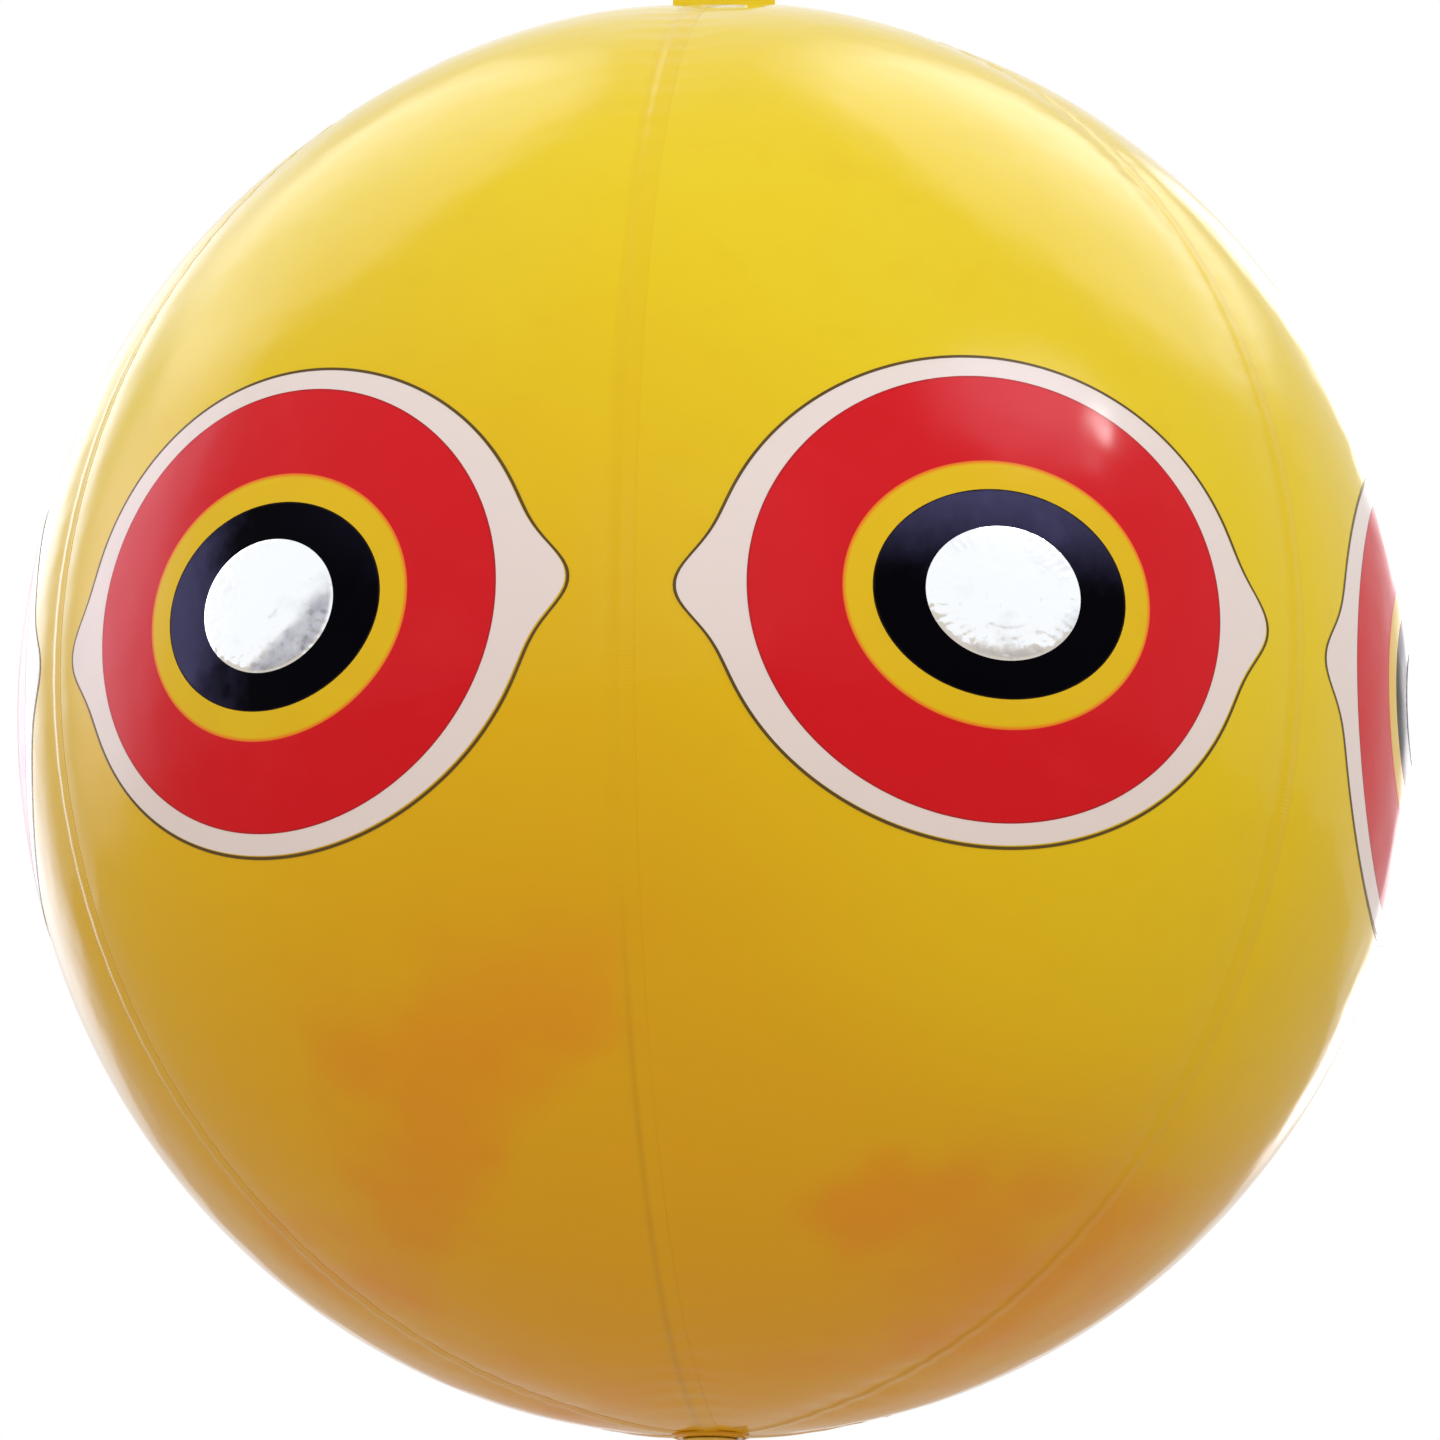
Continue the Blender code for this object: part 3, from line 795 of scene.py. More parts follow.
def seat(mesh: Mesh, body: Body, nodes: Sequence[str] = (), into: Bend | None = None) -> None:
    """Put a finished mesh in the scene as a piece of the mesh's name, on its body where no bend is given.

    Args:
        mesh: The mesh, in place.
        body: The body that it rides on.
        nodes: The model's nodes that it stands for.
        into: A bend into another body; where one is given, the piece stays unattached in place and the bend's
            body and places are not read.
    """
    name = mesh.name
    piece = put_in_scene(name, mesh)
    if into is None:
        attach(piece, body.value)
    else:
        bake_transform(piece)
    if nodes:
        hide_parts(*nodes)
    LOG.info("%s on %s: %d faces", name, body.value, len(mesh.polygons))


def round_corners(path: Sequence[Point], radius: float, closed: bool, steps: int = 4) -> list[Point]:
    """Round the corners of a path.

    Args:
        path: Its corner points.
        radius: How far along each side the rounding starts.
        closed: Whether the last point joins the first.
        steps: Points on each rounding, less one.

    Returns:
        The rounded path.
    """
    rounded: list[Point] = []
    for index, point in enumerate(path):
        if not closed and index in (0, len(path) - 1):
            rounded.append(point)
            continue
        here = np.array(point)
        back = np.array(path[index - 1]) - here
        ahead = np.array(path[(index + 1) % len(path)]) - here
        back_length, ahead_length = float(np.linalg.norm(back)), float(np.linalg.norm(ahead))
        cut = min(radius, MOST_ROUNDING * back_length, MOST_ROUNDING * ahead_length)
        start, end = here + back / back_length * cut, here + ahead / ahead_length * cut
        for share in np.arange(steps + 1) / steps:
            place = start * (1 - share) ** 2 + here * 2 * share * (1 - share) + end * share ** 2
            rounded.append((float(place[0]), float(place[1])))
    return rounded


def arc_points(
    radius: float, start: float, end: float, steps: int, middle: Point = (0.0, 0.0)
) -> list[Point]:
    """Points along an arc about a middle, from its first angle to its last."""
    angles = [start + (end - start) * index / steps for index in range(steps + 1)]
    return [(middle[0] + radius * math.cos(angle), middle[1] + radius * math.sin(angle)) for angle in angles]


def points_of(x: Any, y: Any, z: Any) -> np.ndarray:
    """Join three grids of numbers into one list of points."""
    return np.stack(np.broadcast_arrays(x, y, z), axis=-1).reshape(-1, 3)


def mesh_from(name: str, vertices: np.ndarray, faces: Sequence[Sequence[int]], finish: Material) -> Mesh:
    """Make a clean mesh: doubles merged, faces outward, smooth with sharp edges.

    Args:
        name: The mesh's name.
        vertices: Its points.
        faces: The points of each face.
        finish: Its material.

    Returns:
        The mesh.
    """
    mesh = bpy.data.meshes.new(name)
    mesh.from_pydata(vertices.tolist(), [], faces)
    work = bmesh.new()
    work.from_mesh(mesh)
    bmesh.ops.remove_doubles(work, verts=work.verts, dist=MERGE_DISTANCE)
    bmesh.ops.recalc_face_normals(work, faces=work.faces)
    work.to_mesh(mesh)
    work.free()
    mesh.materials.append(finish)
    return shade(mesh)


def loft_faces(rows: int, columns: int, wrap_rows: bool, wrap_columns: bool) -> list[Any]:
    """Quads of a grid of points counted row by row.

    Args:
        rows: Rows of points.
        columns: Points in a row.
        wrap_rows: Whether the last row joins the first.
        wrap_columns: Whether a row's last point joins its first.

    Returns:
        The four points of each quad.
    """
    faces = []
    for row in range(rows if wrap_rows else rows - 1):
        here, ahead = row * columns, (row + 1) % rows * columns
        for column in range(columns if wrap_columns else columns - 1):
            beside = (column + 1) % columns
            faces.append((here + column, here + beside, ahead + beside, ahead + column))
    return faces


@dataclass(frozen=True)
class Turning:
    """A turned piece about Z or, laid over, about Y."""

    profile: Sequence[Point]
    rounding: float
    steps: int = 128

    def mesh(self, name: str, finish: Material, place: Matrix) -> Mesh:
        """Turn the profile.

        Args:
            name: The mesh's name.
            finish: Its material.
            place: Where it goes and how it lies.

        Returns:
            The mesh in its place.
        """
        closed = not (self.profile[0][0] == 0.0 and self.profile[-1][0] == 0.0)
        path = np.array(round_corners(self.profile, self.rounding, closed))
        angles = np.linspace(0.0, FULL_TURN, self.steps, endpoint=False)
        radius, height = path.T
        vertices = points_of(np.outer(np.cos(angles), radius), np.outer(np.sin(angles), radius), height)
        mesh = mesh_from(name, vertices, loft_faces(self.steps, len(path), True, closed), finish)
        mesh.transform(place)
        return mesh


@dataclass(frozen=True)
class Ball:
    """The inflated skin, six gores drawn in at their welded seams."""

    centre: float
    half_width: float = 200 * MM
    half_height: float = 205.8 * MM
    hole_radius: float = 7 * MM
    dimple_depth: float = 0.6 * MM
    dimple_reach: float = 9 * MM
    pucker_depth: float = 0.16 * MM
    pucker_pitch: float = 10 * MM
    pucker_reach: float = 11 * MM
    pucker_least: float = 0.25
    bulge: float = 0.5 * MM
    wobble: float = 0.5 * MM
    wobble_scale: float = 11.0
    wander: float = 9.0
    wander_scale: float = 7.0
    calm_radius: float = 17 * MM
    free_radius: float = 48 * MM

    def turn(self, index: int) -> float:
        """The angle of a gore's middle."""
        return (2 * index + 1) * HALF_GORE

    @property
    def hole_latitude(self) -> float:
        """The latitude of the holes at the poles."""
        return math.acos(self.hole_radius / self.half_width)

    @property
    def pole_ring(self) -> float:
        """The height of the pole holes over the centre."""
        return self.half_height * math.sin(self.hole_latitude)

    def fall(self, radius: float) -> float:
        """How far the skin has fallen at a radius, below the ring of the pole hole."""
        return self.pole_ring - self.half_height * math.sqrt(1 - (radius / self.half_width) ** 2)

    def girth(self, latitude: Wire) -> Wire:
        """The skin's distance from the pole axis."""
        return latitude.cos() * self.half_width

    def seam_distance(self, azimuth: Wire, latitude: Wire) -> Wire:
        """The distance along the skin to the nearest seam."""
        return abs(HALF_GORE - abs(azimuth)) * self.girth(latitude)

    def place(self, board: Board, azimuth: Wire, latitude: Wire, turn: Wire, lift: Any) -> Wire:
        """Where a point of a gore's skin lies.

        Args:
            board: The tree to draw on.
            azimuth: The angle from the gore's middle.
            latitude: The angle over the equator.
            turn: The angle of the gore's middle.
            lift: The height over the skin.

        Returns:
            The place as a vector.
        """
        bearing = azimuth + turn
        rise = latitude.sin()
        polar = rise * rise
        flat = board.vector(bearing.sin() * latitude.cos(), -bearing.cos() * latitude.cos(), rise)
        distance = self.seam_distance(azimuth, latitude)
        dimple = distance.hill(self.dimple_reach) * -self.dimple_depth
        wander = board.noise(flat, self.wander_scale, 1.0) * self.wander
        wave = (latitude * (self.half_width * FULL_TURN / self.pucker_pitch) + wander).sin()
        pucker = wave * distance.hill(self.pucker_reach) * (polar + self.pucker_least) * self.pucker_depth
        bulge = (azimuth * GORES).cos() * polar * latitude.cos() * self.bulge * 2.0
        wobble = board.noise(flat, self.wobble_scale * self.half_width, 1.0) * self.wobble
        free = board.smooth(self.girth(latitude), self.calm_radius, self.free_radius)
        height = (dimple + pucker + bulge + wobble) * free + lift
        reach = (height + self.half_width) * latitude.cos()
        level = (height + self.half_height) * rise + self.centre
        return board.vector(bearing.sin() * reach, -bearing.cos() * reach, level)


@dataclass
class Panels:
    """The six gores, each lapped over the next and welded."""

    ball: Ball
    finish: Material
    wall: float = 0.3 * MM
    lap: float = 4 * MM
    lap_step: float = 2.6 * MM
    lap_lift: float = 0.33 * MM
    edge_lift: float = 0.09 * MM
    edge_clearance: float = 0.5 * MM
    weld_start: float = -4.4 * MM
    weld_full: float = -3.6 * MM
    groove_place: float = 0.8 * MM
    groove_reach: float = 0.9 * MM
    columns: int = 96
    rows: int = 216
    bunching: float = 0.85

    def sizes(self, index: int) -> dict[str, float]:
        """The named sizes of one gore.

        Args:
            index: The gore, from 0.

        Returns:
            The sizes by name.
        """
        return {
            "Turn": self.ball.turn(index),
            "Lap": self.lap,
            "Lap Step": self.lap_step,
            "Lap Lift": self.lap_lift,
            "Edge Lift": self.edge_lift,
            "Edge Clearance": self.edge_clearance,
        }

    def recipe(self) -> Recipe:
        """Draw the tree of one gore.

        Returns:
            The tree's recipe.
        """
        recipe = Recipe("gore", self.sizes(0))
        board = recipe.board
        grid, across, up = recipe.grid(self.columns, self.rows)
        side = across * 2.0 - 1.0
        bunched = side + (side * HALF_TURN).sin() * (self.bunching / HALF_TURN)
        latitude = (up * 2.0 - 1.0) * self.ball.hole_latitude
        girth = self.ball.girth(latitude)
        left = recipe["Edge Clearance"] / girth - HALF_GORE
        right = recipe["Lap"] / girth + HALF_GORE
        azimuth = (left + right) / 2.0 + bunched * (right - left) / 2.0
        step_start = HALF_GORE - recipe["Lap Step"] / girth
        pressed = board.smooth(azimuth, HALF_GORE, right) * (recipe["Lap Lift"] - recipe["Edge Lift"])
        lift = board.smooth(azimuth, step_start, HALF_GORE) * recipe["Lap Lift"] - pressed
        weld = board.smooth((abs(azimuth) - HALF_GORE) * girth, self.weld_start, self.weld_full)
        # The groove mark is where the vinyl paints shade into the lap's crease.
        groove = ((azimuth - HALF_GORE) * girth + self.groove_place).hill(self.groove_reach)
        marks = {"weld": weld, "along": latitude * self.ball.half_width, "groove": groove}
        for label, value in marks.items():
            grid = recipe.store(grid, label, value)
        recipe.close(recipe.move(grid, self.ball.place(board, azimuth, latitude, recipe["Turn"], lift)))
        return recipe

    def build(self) -> None:
        """Make the six gores."""
        recipe = self.recipe()
        for index in range(GORES):
            mesh = recipe.make(f"panel_skin_{index + 1}", self.finish, self.sizes(index), self.wall)
            seat(mesh, Body.BALL, [f"ball_panel_{index + 1}"])


@dataclass(frozen=True)
class Ring:
    """One printed colour: its outer and inner half sizes and how far its tips draw out."""

    label: str
    slot: Slot
    outer: Point
    inner: Point
    layer: int
    rows: int
    tips: Point = (0.0, 0.0)
    shift: Point = (0.0, 0.0)
    replaces: str = ""

    @staticmethod
    def labels() -> tuple[str, ...]:
        """The names of a ring's sizes."""
        edges = ("Outer X", "Outer Z", "Inner X", "Inner Z", "Outer Tip", "Inner Tip")
        return "Turn", "Lift", *edges, "Shift X", "Shift Z"

    def sizes(self, turn: float, lift: float) -> dict[str, float]:
        """The ring's sizes on the eye at a turn, at a height over the skin."""
        return dict(zip(self.labels(), (turn, lift, *self.outer, *self.inner, *self.tips, *self.shift)))


def grown(size: Point, by: float) -> Point:
    """Half sizes with a border round them."""
    return size[0] + by, size[1] + by


@dataclass(frozen=True)
class Crumple:
    """How a foil is crinkled and bent, and where painted shade darkens it, by shares of its half sizes
    outward from its middle.
    """

    cells: float = 120.0
    cell_rise: Span = (0.0, 0.35)
    cell_depth: float = 0.45
    waves: Grain = (85.0, 3.0)
    wave_depth: float = 1.1
    spokes: float = 41.0
    spoke_noise: Grain = (60.0, 1.0)
    spoke_wander: float = 14.0
    spoke_rise: Span = (0.62, 1.0)
    spoke_depth: float = 0.18
    wander: Grain = (75.0, 3.0)
    bend_wander: float = 0.34
    bend_width: float = 0.18
    bend_sink: float = 0.7
    streaks: Grain = (210.0, 4.0)
    # Strengths of the painted shade on the bent side and, further down, along the arc.
    streak_shade: float = 1.1
    bend_shade_level: float = 0.95
    clean_edge: Span = (0.94, 0.985)
    arc_place: float = 0.22
    arc_wander: float = 0.05
    arc_width: float = 0.018
    arc_side: Span = (0.86, 0.98)
    arc_shade: float = 0.34
    specks: Grain = (420.0,)
    speck_lean: float = 0.10
    speck_rise: Span = (0.17, 0.24)
    speck_tone: float = 0.16
    dome_power: float = 3.0
    flat_edge: Span = (0.945, 1.0)

    def relief(self, board: Board, sample: Wire, angle: Wire, outward: Wire) -> Wire:
        """The height of the folds, the waves and the spokes at the edge.

        Args:
            board: The tree to draw on.
            sample: Where the noises are read.
            angle: The angle round the foil.
            outward: The share of the way out.

        Returns:
            The height, about zero.
        """
        folds = board.smooth(board.cells(sample, self.cells), *self.cell_rise)
        waves = board.noise(sample, *self.waves)
        spokes = (angle * self.spokes + board.noise(sample, *self.spoke_noise) * self.spoke_wander).sin()
        edge = board.smooth(outward, *self.spoke_rise)
        return folds * self.cell_depth + waves * self.wave_depth + spokes * edge * self.spoke_depth

    def bend(self, recipe: Recipe, sample: Wire, facing: Wire, outward: Wire) -> tuple[Wire, Wire]:
        """The side that is bent away with its painted dark reflection in streaks, the painted shade of the
        arc, and the specks.

        Args:
            recipe: The foil's tree.
            sample: Where the noises are read.
            facing: How far a point lies on the bent side.
            outward: The share of the way out.

        Returns:
            How far the foil is bent, and how dark the painted shade and the specks make it.
        """
        board = recipe.board
        toward = facing * outward
        reach = recipe["Bend Reach"]
        wander = board.noise(sample, *self.wander)
        bent = board.smooth(toward + wander * self.bend_wander, reach, reach + self.bend_width)
        streaks = board.noise(sample, *self.streaks)
        clean = 1.0 - board.smooth(outward, *self.clean_edge)
        # Painted dark reflection on the bent side, kept off the very rim.
        bent_shade = bent * (streaks * self.streak_shade + self.bend_shade_level) * clean
        ring = outward - reach + self.arc_place + wander * self.arc_wander
        arc = ring.hill(self.arc_width) * board.smooth(facing, *self.arc_side)
        specks = board.smooth(board.noise(sample, *self.specks) + toward * self.speck_lean, *self.speck_rise)
        bend_shade_and_specks = bent_shade * recipe["Bend Shade"] + arc * self.arc_shade + specks * self.speck_tone
        return bent, bend_shade_and_specks.math("MINIMUM", 1.0).math("MAXIMUM", 0.0)


@dataclass
class Eyes:
    """The six printed eyes with their foil pupils."""

    ball: Ball
    inks: dict[str, Material]
    foil: Material
    film: float = 0.03 * MM
    base: float = 0.06 * MM
    layer_step: float = 0.035 * MM
    overlap: float = 0.5 * MM
    pupil: Point = (22.6 * MM, 18.2 * MM)
    black: Point = (37.0 * MM, 28.5 * MM)
    amber: Point = (45.0 * MM, 36.5 * MM)
    red: Point = (69.5 * MM, 60.8 * MM)
    white: Point = (78.6 * MM, 66.4 * MM)
    tip_reach: float = 8.4 * MM
    tip_height: float = 11.4 * MM
    tip_power: float = 2.1
    line_width: float = 0.8 * MM
    misprint: float = 0.3 * MM
    tilt: float = math.radians(1.0)
    points_round: int = 288
    pupil_rows: int = 44
    foil_layer: int = 4
    foil_dome: float = 0.35 * MM
    foil_crinkle: float = 0.22 * MM
    foil_wall: float = 0.05 * MM
    crumple: Crumple = Crumple()
    # Each eye's bend: its angle in degrees, its reach outward and the strength of its painted shade.
    bends: Sequence[tuple[float, float, float]] = (
        (-88.0, 0.74, 0.42),
        (-60.0, 0.62, 0.60),
        (-130.0, 0.70, 0.55),
        (-75.0, 0.50, 0.60),
        (-110.0, 0.74, 0.50),
        (-47.0, 0.44, 0.78),
    )

    def rings(self) -> list[Ring]:
        """The printed colours.

        Returns:
            Their rings, from the outside in.
        """
        tip, under = self.tip_reach, -self.overlap
        line, slip = grown(self.white, self.line_width), (self.misprint, -self.misprint)
        return [
            Ring("outline", Slot.BLACK, line, self.white, 1, 2, (tip, tip), slip),
            Ring("white", Slot.WHITE, self.white, grown(self.red, under), 0, 8, (tip, 0.0), replaces="white"),
            Ring("red", Slot.RED, self.red, grown(self.amber, under), 1, 12, replaces="red"),
            Ring("amber", Slot.AMBER, self.amber, grown(self.black, under), 2, 5, replaces="yellow"),
            Ring("black", Slot.BLACK, self.black, (0.0, 0.0), 3, 14, replaces="black"),
        ]

    def lift(self, layer: int) -> float:
        """The height of a printed layer's face over the skin."""
        return self.base + self.film + self.layer_step * layer

    def outline(self, recipe: Recipe, angle: Wire, edge: str) -> tuple[Wire, Wire]:
        """Draw a ring's outer or inner edge flat.

        Args:
            recipe: The ring's tree.
            angle: The angle round the eye.
            edge: Which edge, Outer or Inner.

        Returns:
            The place across and up.
        """
        up = angle.sin() * recipe[f"{edge} Z"]
        peak = (-((abs(up) / self.tip_height) ** self.tip_power)).math("EXPONENT")
        drawn = angle.cos().math("SIGN") * peak * recipe[f"{edge} Tip"]
        return angle.cos() * recipe[f"{edge} X"] + drawn, up

    def press(self, recipe: Recipe, mesh: Wire, flat: Sequence[Wire], lift: Wire) -> None:
        """Press a flat mesh onto the skin, straight along the eye's axis, turned by the print's tilt.

        Args:
            recipe: The tree, which this ends.
            mesh: The mesh.
            flat: Each point's place across and up.
            lift: Its height over the skin.
        """
        cosine, sine = math.cos(self.tilt), math.sin(self.tilt)
        across = (flat[0] * cosine - flat[1] * sine) / self.ball.half_width
        up = (flat[0] * sine + flat[1] * cosine) / self.ball.half_height
        depth = (1.0 - across * across - up * up).math("SQRT")
        azimuth, latitude = across.math("ARCTAN2", depth), up.math("ARCSINE")
        place = self.ball.place(recipe.board, azimuth, latitude, recipe["Turn"], lift)
        recipe.close(recipe.move(mesh, place))

    def ring_recipe(self, rows: int) -> Recipe:
        """Draw the tree of a printed ring.

        Args:
            rows: Cells from its outer to its inner edge.

        Returns:
            The tree's recipe.
        """
        recipe = Recipe(f"printed_ring_{rows}", Ring.labels())
        grid, across, inward = recipe.grid(self.points_round, rows)
        angle = across * FULL_TURN
        edges = zip(self.outline(recipe, angle, "Outer"), self.outline(recipe, angle, "Inner"), "XZ")
        flat = [outer + (inner - outer) * inward + recipe[f"Shift {axis}"] for outer, inner, axis in edges]
        self.press(recipe, recipe.store(grid, "ring", inward), flat, recipe["Lift"])
        return recipe

    def foil_sizes(self, index: int) -> dict[str, float]:
        """The named sizes of one eye's foil, which is bent away from its sheet at one place and carries
        painted shade there.

        Args:
            index: The eye, from 0.

        Returns:
            The sizes by name.
        """
        angle, reach, tone = self.bends[index]
        return {
            "Turn": self.ball.turn(index),
            "Half Width": self.pupil[0],
            "Half Height": self.pupil[1],
            "Lift": self.lift(self.foil_layer) + self.foil_wall,
            "Dome": self.foil_dome,
            "Crinkle": self.foil_crinkle,
            "Seed": index + 1.0,
            "Bend Angle": math.radians(angle),
            "Bend Reach": reach,
            "Bend Shade": tone,
        }

    def foil_recipe(self) -> Recipe:
        """Draw the tree of a crinkled, slightly domed pupil.

        Returns:
            The tree's recipe.
        """
        recipe = Recipe("foil_pupil", self.foil_sizes(0))
        board, crumple = recipe.board, self.crumple
        grid, across, inward = recipe.grid(self.points_round, self.pupil_rows)
        angle = across * FULL_TURN
        outward = 1.0 - inward
        flat = (angle.cos() * outward * recipe["Half Width"], angle.sin() * outward * recipe["Half Height"])
        sample = board.vector(*flat, recipe["Seed"])
        facing = (angle - recipe["Bend Angle"]).cos()
        bent, bend_shade_and_specks = crumple.bend(recipe, sample, facing, outward)
        relief = crumple.relief(board, sample, angle, outward) - bent * crumple.bend_sink
        dome = (1.0 - outward ** crumple.dome_power) * recipe["Dome"]
        inner = 1.0 - board.smooth(outward, *crumple.flat_edge)
        height = dome + (relief + 1.0) * inner * recipe["Crinkle"]
        # The stored mark carries the painted shade and the specks.
        self.press(recipe, recipe.store(grid, "bend_shade_and_specks", bend_shade_and_specks), flat, recipe["Lift"] + height)
        return recipe

    def build(self) -> None:
        """Print and foil the six eyes."""
        recipes = {ring.rows: self.ring_recipe(ring.rows) for ring in self.rings()}
        foil_recipe = self.foil_recipe()
        for index in range(GORES):
            eye = f"eye_{index + 1}"
            for ring in self.rings():
                name, ink = f"{eye}_{ring.label}_ink", self.inks[ring.label]
                sizes = ring.sizes(self.ball.turn(index), self.lift(ring.layer))
                mesh = recipes[ring.rows].make(name, ink, sizes, self.film)
                seat(mesh, Body.BALL, [f"{eye}_{ring.replaces}"] if ring.replaces else [])
            mesh = foil_recipe.make(f"{eye}_foil_pupil", self.foil, self.foil_sizes(index), self.foil_wall)
            seat(mesh, Body.BALL, [f"{eye}_foil"])


@dataclass(frozen=True)
class Patch:
    """One round patch: its place, its bore and rim, and its ring of weld dots."""

    end: str
    side: float
    bore: float
    rim: float
    steps: int
    inset: float
    dots: int


@dataclass
class Patches:
    """The round patches welded over the gores' ends, with their rings of weld dots."""

    ball: Ball
    finish: Material
    crown: float = 1.3 * MM
    rim_lift: float = 0.9 * MM
    under: float = 0.08 * MM
    rounding: float = 0.12 * MM
    dot_radius: float = 0.42 * MM
    dot_height: float = 0.14 * MM
    dot_rise: float = 0.3
    profile_points: int = 15
    patches: Sequence[Patch] = (
        Patch("top", 1.0, 0.0, 20 * MM, 192, 1.6 * MM, 72),
        Patch("bottom", -1.0, 5.1 * MM, 11 * MM, 160, 1.3 * MM, 40),
    )

    def pole(self, patch: Patch) -> float:
        """The height of the ring of the pole hole under a patch."""
        return self.ball.centre + patch.side * self.ball.pole_ring

    def lift(self, radius: float, rim: float) -> float:
        """A patch's height over the pole ring, outward, at a radius."""
        share = radius / rim
        return self.crown + (self.rim_lift - self.crown) * share ** 2 - self.ball.fall(radius)

    def weld(self, patch: Patch) -> None:
        """Make a patch from its middle or bore to its rim and back underneath.

        Args:
            patch: The patch.
        """
        last = self.profile_points - 1
        radii = [patch.bore + (patch.rim - patch.bore) * index / last for index in range(self.profile_points)]
        profile = [(radius, patch.side * self.lift(radius, patch.rim)) for radius in radii]
        fall = self.ball.fall
        profile += [(radius, patch.side * (self.under - fall(radius))) for radius in reversed(radii)]
        place = Matrix.Translation((0, 0, self.pole(patch)))
        turning = Turning(profile, self.rounding, patch.steps)
        mesh = turning.mesh(f"{patch.end}_weld_patch", self.finish, place)
        seat(mesh, Body.BALL, [f"{patch.end}_patch"])

    def dot(self, patch: Patch) -> None:
        """Lay a ring of small weld dots on a patch.

        Args:
            patch: The patch.
        """
        ring = patch.rim - patch.inset
        level = self.pole(patch) + patch.side * self.lift(ring, patch.rim)
        sizes = {
            "Ring Radius": ring,
            "Dot Radius": self.dot_radius,
            "Dot Height": self.dot_height,
            "Level": level + patch.side * self.dot_height * self.dot_rise,
        }
        recipe = Recipe(f"{patch.end}_dots", sizes)
        board = recipe.board
        sockets = {"Vertices": patch.dots, "Radius": recipe["Ring Radius"]}
        circle = board.wire("GeometryNodeMeshCircle", 0, sockets)
        sockets = {"Segments": 8, "Rings": 5, "Radius": recipe["Dot Radius"]}
        dot = board.wire("GeometryNodeMeshUVSphere", 0, sockets)
        flat = board.vector(1.0, 1.0, recipe["Dot Height"] / recipe["Dot Radius"])
        sockets = {"Points": circle, "Instance": dot, "Scale": flat}
        laid = board.wire("GeometryNodeInstanceOnPoints", 0, sockets)
        sockets = {"Geometry": laid, "Translation": board.vector(0.0, 0.0, recipe["Level"])}
        recipe.close(board.wire("GeometryNodeTransform", 0, sockets))
        seat(recipe.make(f"{patch.end}_weld_dots", self.finish, sizes), Body.BALL)

    def build(self) -> None:
        """Make both patches, then their weld dots."""
        for patch in self.patches:
            self.weld(patch)
        for patch in self.patches:
            self.dot(patch)


